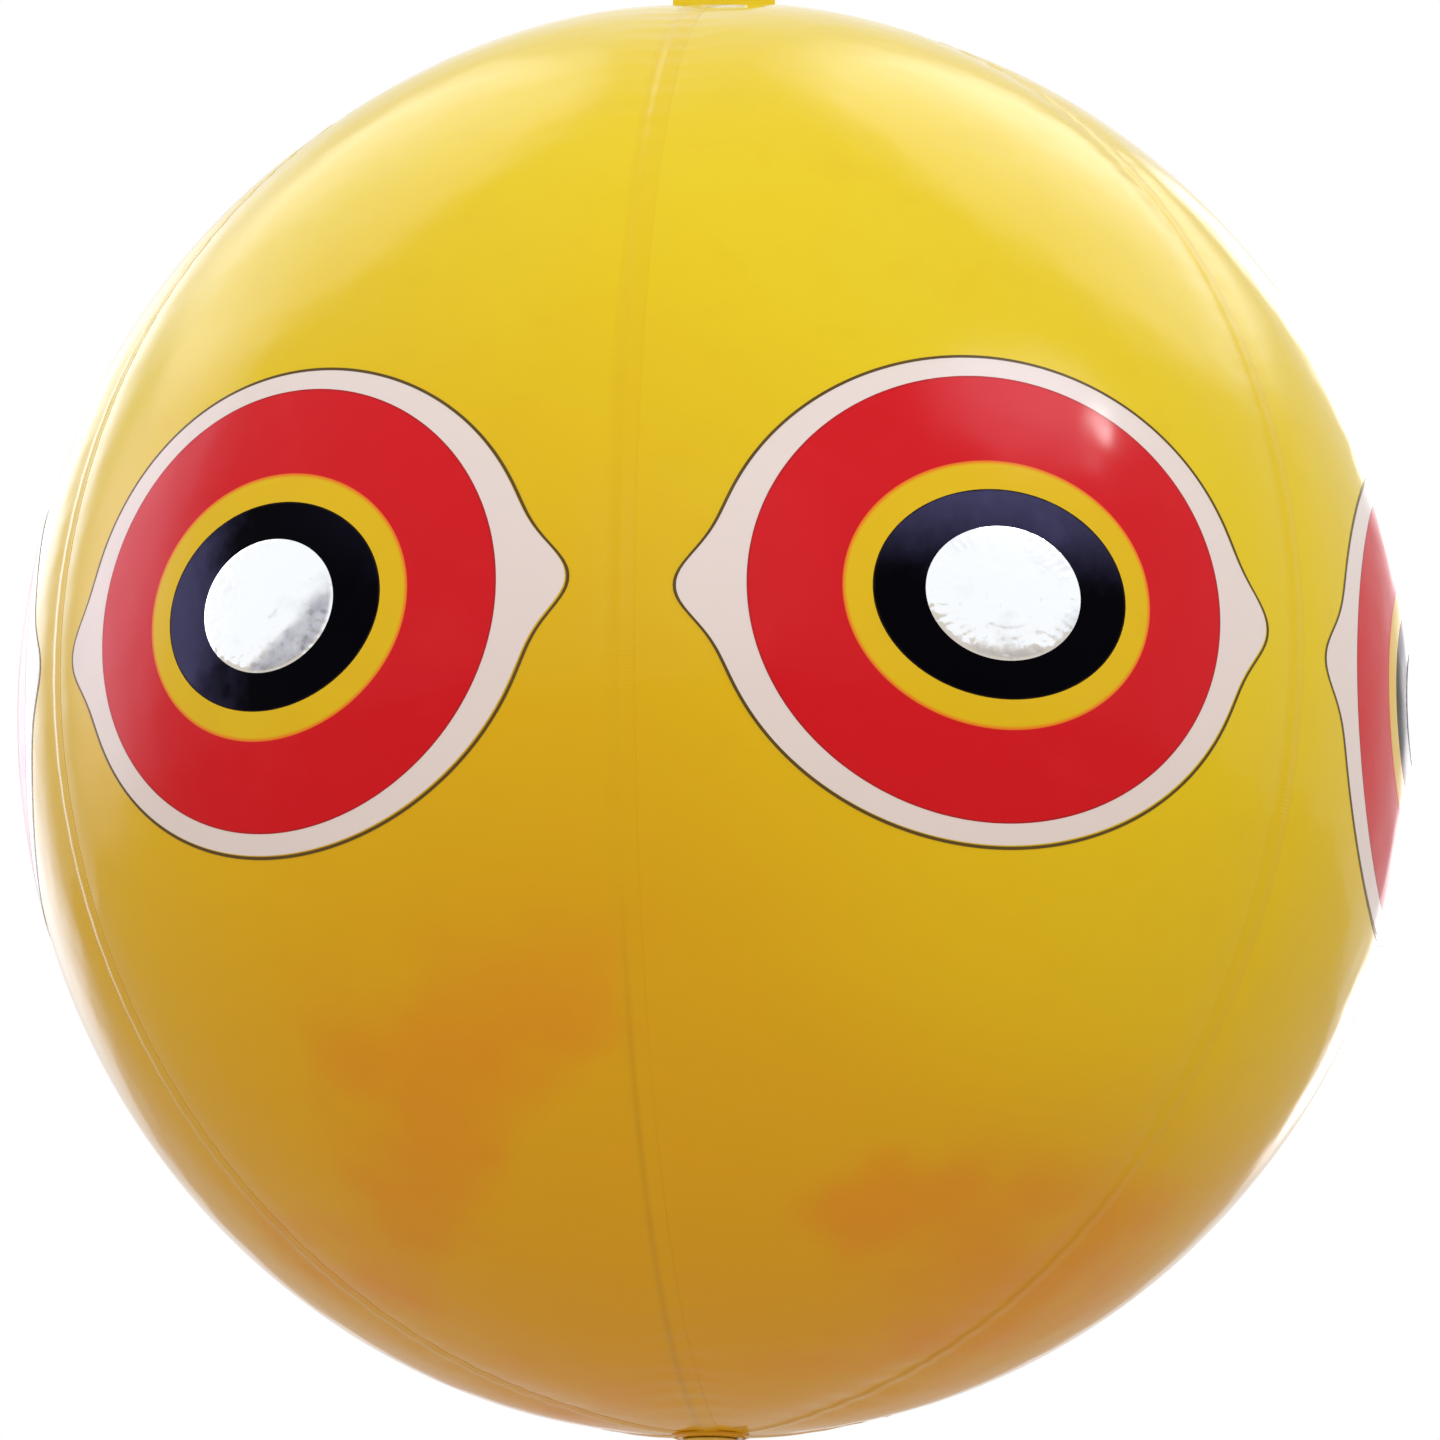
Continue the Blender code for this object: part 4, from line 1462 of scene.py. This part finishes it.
@dataclass
class HangTab:
    """The hanging tab: a welded foot, a blade that folds at its root, and the weld's knurl."""

    ball: Ball
    finish: Material
    fold: float
    width: float = 30 * MM
    strip: float = 7 * MM
    corner: float = 1.2 * MM
    head_radius: float = 11 * MM
    hole_radius: float = 4.7 * MM
    thickness: float = 0.8 * MM
    root: float = 0.15 * MM
    edge: float = 0.18 * MM
    wave: float = 0.25 * MM
    wave_length: float = 7 * MM
    wave_phase: float = 0.6
    calm_radius: float = 8 * MM
    calm_reach: float = 6 * MM
    root_reach: float = 5 * MM
    bend_room: float = 1.6 * MM
    foot_length: float = 34 * MM
    foot_width: float = 8 * MM
    foot_top: float = -17.6 * MM
    foot_end: float = 3.4 * MM
    foot_end_share: float = 0.96
    foot_edge: float = 0.35 * MM
    border_start: float = 0.9
    border_width: float = 0.1
    foot_fall: float = 1.225
    foot_droop: float = 0.0875
    least_wall: float = 0.3 * MM
    ridge: float = 0.45 * MM
    ridge_reach: float = 1.0 * MM
    wear: float = 0.05 * MM
    wear_pitch: Point = (1.4 * MM, 1.1 * MM)
    patch_crown: float = 1.3 * MM
    patch_fall: float = 0.4 * MM
    patch_radius: float = 20 * MM
    knurl_pitch: float = 0.95 * MM
    knurl_start: float = 1.5 * MM
    knurl_size: float = 0.4 * MM
    knurl_inset: float = 2 * MM
    knurl_sink: float = 0.10 * MM
    tooth_tip: float = 0.35
    tooth_height: float = 0.8
    outline_points: int = 220
    head_steps: int = 32
    edge_steps: int = 3
    blade_rows: int = 22
    row_bunching: float = 0.9
    foot_columns: int = 96
    foot_rows: int = 28
    knurl_columns: int = 23
    knurl_rows: int = 3

    def outline(self) -> np.ndarray:
        """The blade's edge at even steps.

        Returns:
            A row for each point, with its place across and up.
        """
        half = self.width / 2
        base = self.foot_top - self.root
        strip_top = self.fold + self.strip
        touch = math.atan2(strip_top, half) + math.acos(self.head_radius / math.hypot(half, strip_top))
        head = arc_points(self.head_radius, touch, HALF_TURN - touch, self.head_steps)
        corners = [(half, base), (half, strip_top), *head, (-half, strip_top), (-half, base)]
        path = np.array(round_corners(corners, self.corner, True))
        closed = np.vstack([path, path[:1]])
        spans = np.linalg.norm(np.diff(closed, axis=0), axis=1)
        along = np.concatenate([[0.0], np.cumsum(spans)])
        wanted = np.linspace(0.0, along[-1], self.outline_points, endpoint=False)
        return np.stack([np.interp(wanted, along, closed[:, axis]) for axis in (0, 1)], axis=1)

    def blade(self) -> Mesh:
        """The blade, a sheet of rings from the eyelet's hole out to its edge.

        Returns:
            The mesh.
        """
        edge = self.outline()
        hole = edge / np.linalg.norm(edge, axis=1, keepdims=True) * self.hole_radius
        shares = np.linspace(0.0, 1.0, self.blade_rows) ** self.row_bunching
        flat = hole[None] + (edge - hole)[None] * shares[:, None, None]
        across, up = flat[:, :, 0], flat[:, :, 1]
        away = np.linalg.norm(flat, axis=2) - self.calm_radius
        free = np.clip(away / self.calm_reach, 0.0, 1.0)
        rooted = np.clip((up - self.fold) / self.root_reach, 0.0, 1.0)
        depth = self.wave * free * rooted * np.sin(across / self.wave_length + self.wave_phase)
        faces = loft_faces(self.blade_rows, self.outline_points, False, True)
        mesh = mesh_from("tab_blade", points_of(across, depth, up), faces, self.finish)
        carrier = put_in_scene("tab_blade", mesh)
        add_wall(carrier, self.thickness, 0.0)
        bevel = carrier.modifiers.new("Edge", "BEVEL")
        bevel.width = self.edge
        bevel.segments = self.edge_steps
        bevel.limit_method = "ANGLE"
        return plain_mesh(carrier)

    def foot_level(self, across: np.ndarray, depth: np.ndarray) -> np.ndarray:
        """The height of the foot's upper face.

        Args:
            across: Places along the foot.
            depth: Places over its width.

        Returns:
            The heights.
        """
        beyond = np.clip(np.abs(across) - self.width / 2, 0.0, None)
        fall = self.foot_fall * np.hypot(across, depth) ** 2 + beyond * self.foot_droop
        ridge = self.ridge * np.exp(-((depth / self.ridge_reach) ** 2)) * (np.abs(across) < self.width / 2)
        worn = self.wear * np.sin(across / self.wear_pitch[0]) * np.cos(depth / self.wear_pitch[1])
        return self.foot_top - fall + ridge + worn

    def foot(self) -> Mesh:
        """The welded foot, a strip with round ends that follows the patch.

        Returns:
            The mesh.
        """
        columns, rows = self.foot_columns, self.foot_rows
        side, end = np.meshgrid(np.linspace(-1.0, 1.0, columns), np.linspace(-1.0, 1.0, rows))
        inset = self.foot_end * (1 - np.sqrt(np.clip(1 - end ** 2 * self.foot_end_share, 0.0, 1.0)))
        across = side * (self.foot_length / 2 - inset)
        depth = end * (self.foot_width / 2)
        outer = np.maximum(np.abs(side), np.abs(end)) - self.border_start
        border = np.clip(outer / self.border_width, 0.0, 1.0)
        top = self.foot_level(across, depth) - self.foot_edge * border ** 2
        radius = np.hypot(across, depth)
        drop = np.vectorize(self.ball.fall)(np.maximum(radius, self.ball.hole_radius))
        patch = self.ball.centre + self.ball.pole_ring + self.patch_crown - drop
        patch -= self.patch_fall * (radius / self.patch_radius) ** 2
        bottom = np.minimum(patch, top - self.least_wall)
        vertices = np.vstack([points_of(across, depth, top), points_of(across, depth, bottom)])
        count = top.size
        faces = loft_faces(rows, columns, False, False)
        faces += [tuple(count + corner for corner in reversed(face)) for face in faces]
        rim = list(range(columns))
        rim += [columns * row - 1 for row in range(2, rows + 1)]
        rim += list(range(count - 2, count - columns - 1, -1))
        rim += [columns * row for row in range(rows - 2, 0, -1)]
        faces += [(here, here + count, ahead + count, ahead) for here, ahead in zip(rim, rim[1:] + rim[:1])]
        return mesh_from("tab_foot", vertices, faces, self.finish)

    def knurl(self) -> Mesh:
        """Rows of small pyramids left by the welding tool on both sides of the blade.

        Returns:
            The mesh.
        """
        sizes = {
            "Length": self.width - self.knurl_inset,
            "Row Pitch": self.knurl_pitch,
            "First Row": self.knurl_start,
            "Size": self.knurl_size,
            "Top": self.foot_top - self.knurl_sink,
            "Round": self.foot_fall,
        }
        recipe = Recipe("tab_knurl", sizes)
        board = recipe.board
        joined = board.node("GeometryNodeJoinGeometry")
        for side in (-1.0, 1.0):
            sockets = {
                "Size X": recipe["Length"],
                "Size Y": recipe["Row Pitch"] * (self.knurl_rows - 1),
                "Vertices X": self.knurl_columns,
                "Vertices Y": self.knurl_rows,
            }
            rows = board.wire("GeometryNodeMeshGrid", 0, sockets)
            middle = recipe["First Row"] + recipe["Row Pitch"] * ((self.knurl_rows - 1) / 2)
            sockets = {"Geometry": rows, "Translation": board.vector(0.0, middle * side, 0.0)}
            board.feed(joined.inputs[0], board.wire("GeometryNodeTransform", 0, sockets))
        across, depth, _ = board.split(board.wire("GeometryNodeInputPosition", 0))
        level = recipe["Top"] - (across * across + depth * depth) * recipe["Round"]
        placed = recipe.move(Wire(board, joined.outputs[0]), board.vector(across, depth, level))
        sockets = {
            "Vertices": 4,
            "Radius Top": recipe["Size"] * self.tooth_tip,
            "Radius Bottom": recipe["Size"],
            "Depth": recipe["Size"] * self.tooth_height,
        }
        tooth = board.wire("GeometryNodeMeshCone", 0, sockets)
        sockets = {"Points": placed, "Instance": tooth, "Rotation": (0.0, 0.0, HALF_TURN / 4)}
        recipe.close(board.wire("GeometryNodeInstanceOnPoints", 0, sockets))
        return recipe.make("tab_weld_knurl", self.finish, sizes)

    def build(self) -> None:
        """Make the blade, the foot and the knurl."""
        bend = Bend(Body.BALL, (0, 0, self.fold + self.bend_room), (0, 0, self.foot_top))
        seat(self.blade(), Body.HANGER, ["hang_tab"], bend)
        seat(self.foot(), Body.BALL, ["tab_weld_strip"])
        seat(self.knurl(), Body.BALL)


@dataclass
class Eyelet:
    """The plated eyelet: a flanged barrel rolled over a washer."""

    finish: Material
    bore: float = 3.5 * MM
    wall: float = 1.0 * MM
    flange: float = 7.0 * MM
    roll: float = 5.9 * MM
    face: float = 0.42 * MM
    flange_height: float = 0.88 * MM
    washer_height: float = 0.75 * MM
    roll_height: float = 1.05 * MM
    play: float = 0.1 * MM
    seat_gap: float = 0.02 * MM

    def turn(self, node: str, profile: Sequence[Point], rounding: float) -> None:
        """Turn one of the two pieces about the bore and seat it.

        Args:
            node: The model's node that it stands for.
            profile: Its section, by radius and height along the bore.
            rounding: How far its corners are rounded.
        """
        laid = Matrix.Rotation(HALF_TURN / 2, 4, "X")
        mesh = Turning(profile, rounding).mesh(f"{node}_plated", self.finish, laid)
        seat(mesh, Body.HANGER, [node])

    def build(self) -> None:
        """Make the barrel and the washer."""
        bore, face, flange, roll = self.bore, self.face, self.flange, self.roll
        barrel = bore + self.wall
        inner = barrel + self.play
        front = face + self.flange_height
        washer = face + self.washer_height
        rest = washer + self.seat_gap
        back = rest + self.roll_height
        profile = [
            (bore, 0.0), (bore, front - 0.25 * MM), (bore + 0.45 * MM, front),
            (flange - 0.7 * MM, front - 0.08 * MM), (flange, face + 0.25 * MM), (flange, face),
            (barrel, face), (barrel, -rest), (roll, -rest), (roll, 0.35 * MM - back),
            (roll - 0.5 * MM, -back), (bore + 0.5 * MM, -back), (bore, 0.45 * MM - back),
        ]
        self.turn("eyelet_barrel", profile, 0.3 * MM)
        profile = [
            (inner, -face), (flange, -face), (flange, 0.2 * MM - washer),
            (flange - 0.35 * MM, -washer), (inner, -washer),
        ]
        self.turn("eyelet_washer", profile, 0.15 * MM)


@dataclass
class Valve:
    """The push-in valve: flange, stem, stopper, strap and one-way flap.

    The profiles' heights are counted outwards, downwards from the bottom pole.
    """

    ball: Ball
    finish: Material
    play: float = 0.25 * MM
    collar: float = 6.7 * MM
    collar_start: float = 0.6 * MM
    collar_end: float = 7 * MM
    flange: float = 15 * MM
    flange_wall: float = 0.8 * MM
    stem: float = 4.8 * MM
    bore: float = 3.0 * MM
    travel: float = 8 * MM
    rim: float = 8.0 * MM
    rim_seat: float = 1.36 * MM
    rim_face: float = 2.5 * MM
    lip: float = 6.2 * MM
    lip_gap: float = 0.3 * MM
    lip_wall: float = 1.0 * MM
    head: float = 6.8 * MM
    head_seat: float = 2.56 * MM
    head_face: float = 3.9 * MM
    shank: float = 2.9 * MM
    shank_length: float = 7 * MM
    bead: float = 0.12 * MM
    dimple: float = 1.8 * MM
    dimple_depth: float = 4 * MM
    strap_width: float = 3 * MM
    strap_thickness: float = 0.5 * MM
    strap_reach: float = 2.3 * MM
    strap_root: float = 0.15 * MM
    flap_radius: float = 4.0 * MM
    flap_thickness: float = 0.5 * MM
    flap_tab: float = 2.0 * MM
    flap_hinge: float = 0.6 * MM
    flap_gap: float = 0.3 * MM

    @property
    def level(self) -> float:
        """The height of the bottom pole's ring."""
        return self.ball.centre - self.ball.pole_ring

    def turn(self, node: str, body: Body, profile: Sequence[Point], rounding: float) -> None:
        """Turn one of the valve's round pieces and seat it.

        Args:
            node: The model's node that it stands for.
            body: The body that it rides on.
            profile: Its section, by radius and height outwards.
            rounding: How far its corners are rounded.
        """
        section = [(radius, -height) for radius, height in profile]
        place = Matrix.Translation((0, 0, self.level))
        mesh = Turning(section, rounding).mesh(f"{node}_moulded", self.finish, place)
        seat(mesh, body, [node])

    def build_flange(self) -> None:
        """The ring welded inside the gores, with the collar that guides the stem."""
        bore, collar, rim = self.stem + self.play, self.collar, self.flange
        under = -self.collar_start
        outer = under - 0.1 * MM - self.ball.fall(rim)
        profile = [
            (bore, -under), (bore, -self.collar_end), (collar - 0.4 * MM, -self.collar_end),
            (collar, under - 2 * self.flange_wall), (rim, outer - self.flange_wall), (rim, outer),
            (collar, under), (collar, -under),
        ]
        self.turn("valve_flange", Body.BALL, profile, 0.25 * MM)

    def build_stem(self) -> None:
        """The push-in tube with its rim and inner stop lip."""
        bore, face, head, rim = self.bore, self.rim_face, self.head, self.rim
        lip = -self.collar_end - self.travel - self.lip_gap
        end = lip - self.lip_wall
        profile = [
            (bore + 0.5 * MM, face), (bore, face - 0.5 * MM), (bore, end), (self.lip - 0.3 * MM, end),
            (self.lip, lip), (self.stem, lip), (self.stem, self.rim_seat), (rim, self.rim_seat),
            (rim, face - 0.35 * MM), (rim - 0.6 * MM, face), (head + 0.45 * MM, face),
            (head + 0.25 * MM, face - 0.15 * MM), (head, face - 0.15 * MM), (head - 0.2 * MM, face),
        ]
        self.turn("valve_stem", Body.VALVE, profile, 0.22 * MM)

    def build_plug(self) -> None:
        """The stopper with its moulded grip rings and dimple."""
        shank, head, seated, face = self.shank, self.head, self.head_seat, self.head_face
        end = seated - self.shank_length
        neck = shank - self.bead
        profile = [
            (0.0, end), (shank - 0.6 * MM, end), (shank - 0.35 * MM, end + 0.4 * MM),
            (neck, seated - 2.4 * MM), (shank - 0.35 * MM, seated - 2.1 * MM), (neck, seated - 1.6 * MM),
            (neck, seated), (head, seated), (head, face - 0.5 * MM), (head - 0.5 * MM, face),
            (head - 1.7 * MM, face), (head - 1.9 * MM, face - 0.25 * MM), (head - 2.3 * MM, face - 0.25 * MM),
            (head - 2.5 * MM, face), (self.dimple + 0.3 * MM, face), (self.dimple, face - 0.4 * MM),
            (self.dimple - 0.2 * MM, face - self.dimple_depth), (0.0, face - self.dimple_depth),
        ]
        self.turn("valve_plug", Body.PLUG, profile, 0.2 * MM)

    def build_strap(self) -> None:
        """The strap from the stopper's head round to the stem's rim."""
        upper = (self.head_seat + self.head_face) / 2
        lower = (self.rim_seat + self.rim_face) / 2
        middle, bend = (upper + lower) / 2, (upper - lower) / 2
        turn = self.rim + self.strap_reach
        bow = arc_points(bend, HALF_TURN / 2, -HALF_TURN / 2, steps=24, middle=(turn, middle))
        path = [(self.head - self.strap_root, upper), *bow, (self.rim - self.strap_root, lower)]
        dense = np.array(round_corners(path, 0.3 * MM, False))
        ahead = np.gradient(dense, axis=0)
        ahead /= np.linalg.norm(ahead, axis=1, keepdims=True)
        normal = np.stack([-ahead[:, 1], ahead[:, 0]], axis=1)
        half, thin = self.strap_width / 2, self.strap_thickness / 2
        corners = [(-half, -thin), (half, -thin), (half, thin), (-half, thin)]
        section = np.array(round_corners(corners, 0.18 * MM, True))
        along = dense[:, None, :] + normal[:, None, :] * section[None, :, 1:2]
        vertices = points_of(along[:, :, 0], section[None, :, 0], -along[:, :, 1] + self.level)
        sides, count = len(section), len(vertices)
        faces = loft_faces(len(dense), sides, False, True)
        faces += [tuple(range(sides)), tuple(range(count - sides, count))]
        mesh = mesh_from("plug_strap_moulded", vertices, faces, self.finish)
        start = (turn, 0, self.level - lower - 0.1 * MM)
        end = (turn, 0, self.level - upper + 0.1 * MM)
        seat(mesh, Body.VALVE, ["plug_strap"], Bend(Body.PLUG, start, end))

    def build_flap(self) -> None:
        """The one-way flap on the stem's inner end, a thin disc with a hinge tab."""
        thick, edge = self.flap_thickness, self.flap_radius + self.flap_hinge
        start = HALF_TURN / 2 + math.asin(self.flap_tab / self.flap_radius)
        disc = arc_points(self.flap_radius, start, FULL_TURN + HALF_TURN - start, steps=48)
        points = np.array([*disc, (self.flap_tab, edge), (-self.flap_tab, edge)])
        end = self.level + self.collar_end + self.travel + self.lip_gap + self.lip_wall + self.flap_gap
        rows = [
            (0.0, 0.0), (0.5, 0.0), (0.97, 0.0), (1.0, 0.12 * MM), (1.0, thick - 0.12 * MM),
            (0.97, thick), (0.5, thick - 0.05 * MM), (0.0, 0.4 * MM),
        ]
        vertices = [points_of(points[:, 0] * share, points[:, 1] * share, end + rise) for share, rise in rows]
        faces = loft_faces(len(rows), len(points), False, True)
        mesh = mesh_from("check_flap_moulded", np.vstack(vertices), faces, self.finish)
        seat(mesh, Body.FLAP, ["check_flap"])

    def build(self) -> None:
        """Make the five valve pieces."""
        self.build_flange()
        self.build_stem()
        self.build_plug()
        self.build_strap()
        self.build_flap()


@dataclass(frozen=True)
class Lamp:
    """A rectangular lamp, which can lend its light, its mirror image or both."""

    name: str
    place: Vector
    size: Point
    power: float
    colour: Colour = (1.0, 1.0, 1.0)
    glossy: bool = True
    diffuse: bool = True
    core: float = 1.0

    def soften(self, data: bpy.types.Light) -> None:
        """Let the lamp's glow fall away from its core to its edges.

        Args:
            data: The lamp's own data.
        """
        data.use_nodes = True
        board = Board(data.node_tree)
        across, up, _ = board.split(board.wire("ShaderNodeNewGeometry", "Parametric"))
        reach = ((across * 2.0 - 1.0) ** 2.0 + (up * 2.0 - 1.0) ** 2.0) ** 0.5
        glow = board.smooth(reach, 1.0, self.core)
        board.feed(data.node_tree.nodes["Emission"].inputs["Strength"], glow)

    def build(self, aim: Vector) -> None:
        """Hang the lamp and point it.

        Args:
            aim: The place that it points at.
        """
        data = bpy.data.lights.new(self.name, "AREA")
        data.shape = "RECTANGLE"
        data.size, data.size_y = self.size
        data.energy = self.power
        data.color = self.colour
        if self.core < 1.0:
            self.soften(data)
        lamp = put_in_scene(self.name, data)
        lamp.location = self.place
        lamp.rotation_euler = (aim - self.place).to_track_quat("-Z", "Y").to_euler()
        lamp.visible_glossy = self.glossy
        lamp.visible_diffuse = self.diffuse


@dataclass
class Studio:
    """The photograph's camera, a pale floor, a white surround and plain soft lamps."""

    aim: Vector
    frame_pixels: float = 1440.0
    focal_pixels: float = 8863.8
    ball_pixel: Point = (717.2, 720.6)
    ball_pixels: float = 699.0
    ball_radius: float = 0.2
    distance: float = 2.544
    azimuth: float = math.radians(7.545)
    elevation: float = math.radians(-10.84)
    roll: float = math.radians(0.55)
    sensor: float = 36.0
    floor_level: float = -3.2
    floor_size: float = 110.0
    floor_fade: Point = (6.0, 18.0)
    floor_tone: Colour = (0.85, 0.758, 0.655)
    floor_pale: Colour = (0.885, 0.793, 0.69)
    floor_haze: Grain = (3.0, 3.0)
    haze_rise: Span = (-0.3, 0.3)
    ambient: float = 0.78
    cool: Colour = (0.88, 0.95, 1.0)
    pale_blue: Colour = (0.80, 0.84, 1.0)
    blue: Colour = (0.72, 0.82, 1.0)
    lilac: Colour = (0.90, 0.77, 1.0)
    blush: Colour = (1.0, 0.93, 0.97)

    def axes(self) -> tuple[Vector, Vector, Vector]:
        """The camera's directions.

        Returns:
            The picture's right and up, and the way from the ball to the camera.
        """
        sine, cosine = math.sin(self.azimuth), math.cos(self.azimuth)
        level = math.cos(self.elevation)
        away = Vector((sine * level, -cosine * level, math.sin(self.elevation)))
        right = Vector((cosine, sine, 0.0))
        up = away.cross(right)
        turned_right = right * math.cos(self.roll) + up * math.sin(self.roll)
        turned_up = up * math.cos(self.roll) - right * math.sin(self.roll)
        return turned_right, turned_up, away

    def mirrored(self, pixel: Point, distance: float) -> Vector:
        """Where a lamp hangs whose mirror image the camera sees at a place of the picture.

        Args:
            pixel: The place in the picture, from its top left.
            distance: The lamp's distance from the ball's skin.

        Returns:
            The lamp's place.
        """
        right, up, away = self.axes()
        across = (pixel[0] - self.ball_pixel[0]) / self.ball_pixels
        rise = (self.ball_pixel[1] - pixel[1]) / self.ball_pixels
        normal = right * across + up * rise + away * math.sqrt(1 - across ** 2 - rise ** 2)
        point = self.aim + normal * self.ball_radius
        sight = (self.aim + away * self.distance - point).normalized()
        return point + (normal * 2 * normal.dot(sight) - sight) * distance

    def soft_box(
        self, name: str, pixel: Point, distance: float, size: Point, power: float, colour: Colour, core: float
    ) -> Lamp:
        """A lamp that only shows in the gloss, hung by the place of its mirror image."""
        return Lamp(name, self.mirrored(pixel, distance), size, power, colour, diffuse=False, core=core)

    def lamps(self) -> list[Lamp]:
        """The studio's lamps.

        Returns:
            Soft lamps that light the ball, soft boxes that only show in its gloss, and a small spark.
        """
        return [
            Lamp("overhead_left", Vector((-1.1, -0.5, 1.5)), (1.3, 1.0), 6.0, glossy=False),
            Lamp("overhead_right", Vector((1.1, -0.4, 1.5)), (1.3, 1.0), 6.0, glossy=False),
            Lamp("front_fill", Vector((0.3, -2.6, 0.5)), (1.6, 1.2), 16.0, glossy=False),
            self.soft_box("box_left", (365, 225), 1.7, (1.8, 1.7), 17.0, self.cool, 0.6),
            self.soft_box("box_right", (1050, 215), 1.7, (1.9, 1.8), 23.0, self.cool, 0.6),
            self.soft_box("box_side", (150, 560), 1.8, (1.5, 2.2), 23.0, self.lilac, 0.2),
            self.soft_box("box_glow", (1010, 430), 1.6, (1.3, 0.8), 19.0, self.pale_blue, 0.1),
            self.soft_box("rim_left", (52, 600), 1.6, (1.2, 1.7), 12.0, self.blue, 0.2),
            self.soft_box("rim_right", (1398, 630), 1.6, (0.6, 1.4), 11.0, self.blush, 0.5),
            Lamp("spark", self.mirrored((1080, 458), 1.6), (0.13, 0.07), 3.0, core=0.5),
        ]

    def build_camera(self) -> None:
        """Set the camera where the photograph was taken from."""
        right, up, away = self.axes()
        middle = self.frame_pixels / 2
        per_pixel = self.distance / self.focal_pixels
        offset = right * (middle - self.ball_pixel[0]) + up * (self.ball_pixel[1] - middle)
        place = self.aim + away * self.distance
        back = (place - (self.aim + offset * per_pixel)).normalized()
        side = up.cross(back).normalized()
        data = bpy.data.cameras.new("photo_camera")
        data.sensor_width = self.sensor
        data.lens = self.focal_pixels / self.frame_pixels * self.sensor
        data.clip_start, data.clip_end = 0.05, 200.0
        camera = put_in_scene("photo_camera", data)
        turn = Matrix((side, back.cross(side), back)).transposed().to_4x4()
        camera.matrix_world = Matrix.Translation(place) @ turn
        bpy.context.scene.camera = camera

    def build_world(self) -> None:
        """A surround that shows white and gives a gentler fill light."""
        world = bpy.data.worlds.new("surround")
        bpy.context.scene.world = world
        world.use_nodes = True
        world.node_tree.nodes.clear()
        board = Board(world.node_tree)
        rays = board.node("ShaderNodeLightPath").outputs
        through = board.maths("MAXIMUM", rays["Is Glossy Ray"], rays["Is Transmission Ray"])
        shown = board.maths("MAXIMUM", rays["Is Camera Ray"], through)
        white, fill = (
            board.wire("ShaderNodeBackground", 0, {"Color": WHITE_LIGHT, "Strength": strength})
            for strength in (1.0, self.ambient)
        )
        mixed = board.wire("ShaderNodeMixShader", 0, {0: shown, 1: fill, 2: white})
        board.node("ShaderNodeOutputWorld", {0: mixed})

    def build_floor(self) -> None:
        """A plain pale floor far under the hung ball, which fades into the white surround."""
        coat = Coat("studio_floor")
        board = coat.board
        across, depth, _ = board.split(coat.place)
        far = board.smooth((across * across + depth * depth) ** 0.5, *self.floor_fade)
        haze = board.smooth(coat.noise(*self.floor_haze), *self.haze_rise)
        tone = board.tint(haze, self.floor_tone, self.floor_pale)
        material = coat.close({"Base Color": tone, "Roughness": 0.9, "Specular IOR Level": 0.1})
        seen = board.wire("ShaderNodeLightPath", "Is Camera Ray")
        white = board.wire("ShaderNodeEmission", 0, {"Color": WHITE_LIGHT, "Strength": 1.0})
        mixed = board.wire("ShaderNodeMixShader", 0, {0: far * seen, 1: coat.shader.outputs[0], 2: white})
        board.feed(material.node_tree.nodes["Material Output"].inputs["Surface"], mixed)
        work = bmesh.new()
        bmesh.ops.create_grid(work, x_segments=8, y_segments=8, size=self.floor_size / 2)
        mesh = bpy.data.meshes.new("floor")
        work.to_mesh(mesh)
        work.free()
        mesh.transform(Matrix.Translation((0, 0, self.floor_level)))
        mesh.materials.append(material)
        put_in_scene("floor", mesh)

    def build(self) -> None:
        """Set up the whole studio."""
        self.build_camera()
        self.build_world()
        self.build_floor()
        for lamp in self.lamps():
            lamp.build(self.aim)
        bpy.context.scene.view_settings.view_transform = "Standard"


def ink_finishes() -> dict[str, Material]:
    """Mix the inks.

    Returns:
        The materials by printed colour.
    """
    inks = {
        "outline": InkFinish("line_ink", (0.10, 0.06, 0.016), (0.16, 0.10, 0.02), (0.14, 0.085, 0.017)),
        "white": InkFinish(
            "white_ink", (0.76, 0.665, 0.64), (0.745, 0.64, 0.615), (0.78, 0.66, 0.47), 0.035, gloss=0.22
        ),
        "red": InkFinish("red_ink", (0.60, 0.006, 0.012), (0.64, 0.014, 0.018), (0.36, 0.010, 0.014), 0.03),
        "amber": InkFinish("amber_ink", (0.72, 0.47, 0.010), (0.69, 0.42, 0.012), (0.78, 0.17, 0.015), 0.16),
        # The black ink carries a painted navy reflection of the sky.
        "black": InkFinish(
            "black_ink", (0.0004, 0.0003, 0.0016), (0.001, 0.0008, 0.005), (0.02, 0.012, 0.006), 0.02,
            gloss=0.02, painted_sky_reflection=(0.055, 0.052, 0.125),
        ),
    }
    return {label: ink.build() for label, ink in inks.items()}


def main() -> None:
    """Build every sub-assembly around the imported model."""
    logging.basicConfig(level=logging.INFO, format="%(message)s")
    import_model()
    low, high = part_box("ball_panel_1")
    ball = Ball(centre=(low.z + high.z) / 2)
    vinyl = VinylFinish().build()
    Panels(ball, vinyl).build()
    Eyes(ball, ink_finishes(), FoilFinish().build()).build()
    Patches(ball, vinyl).build()
    HangTab(ball, vinyl, fold=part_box("hang_tab")[0].z).build()
    Eyelet(PlatedFinish().build()).build()
    Valve(ball, SoftFinish().build()).build()
    Studio(Vector((0.0, 0.0, ball.centre))).build()


if __name__ == "__main__":
    main()
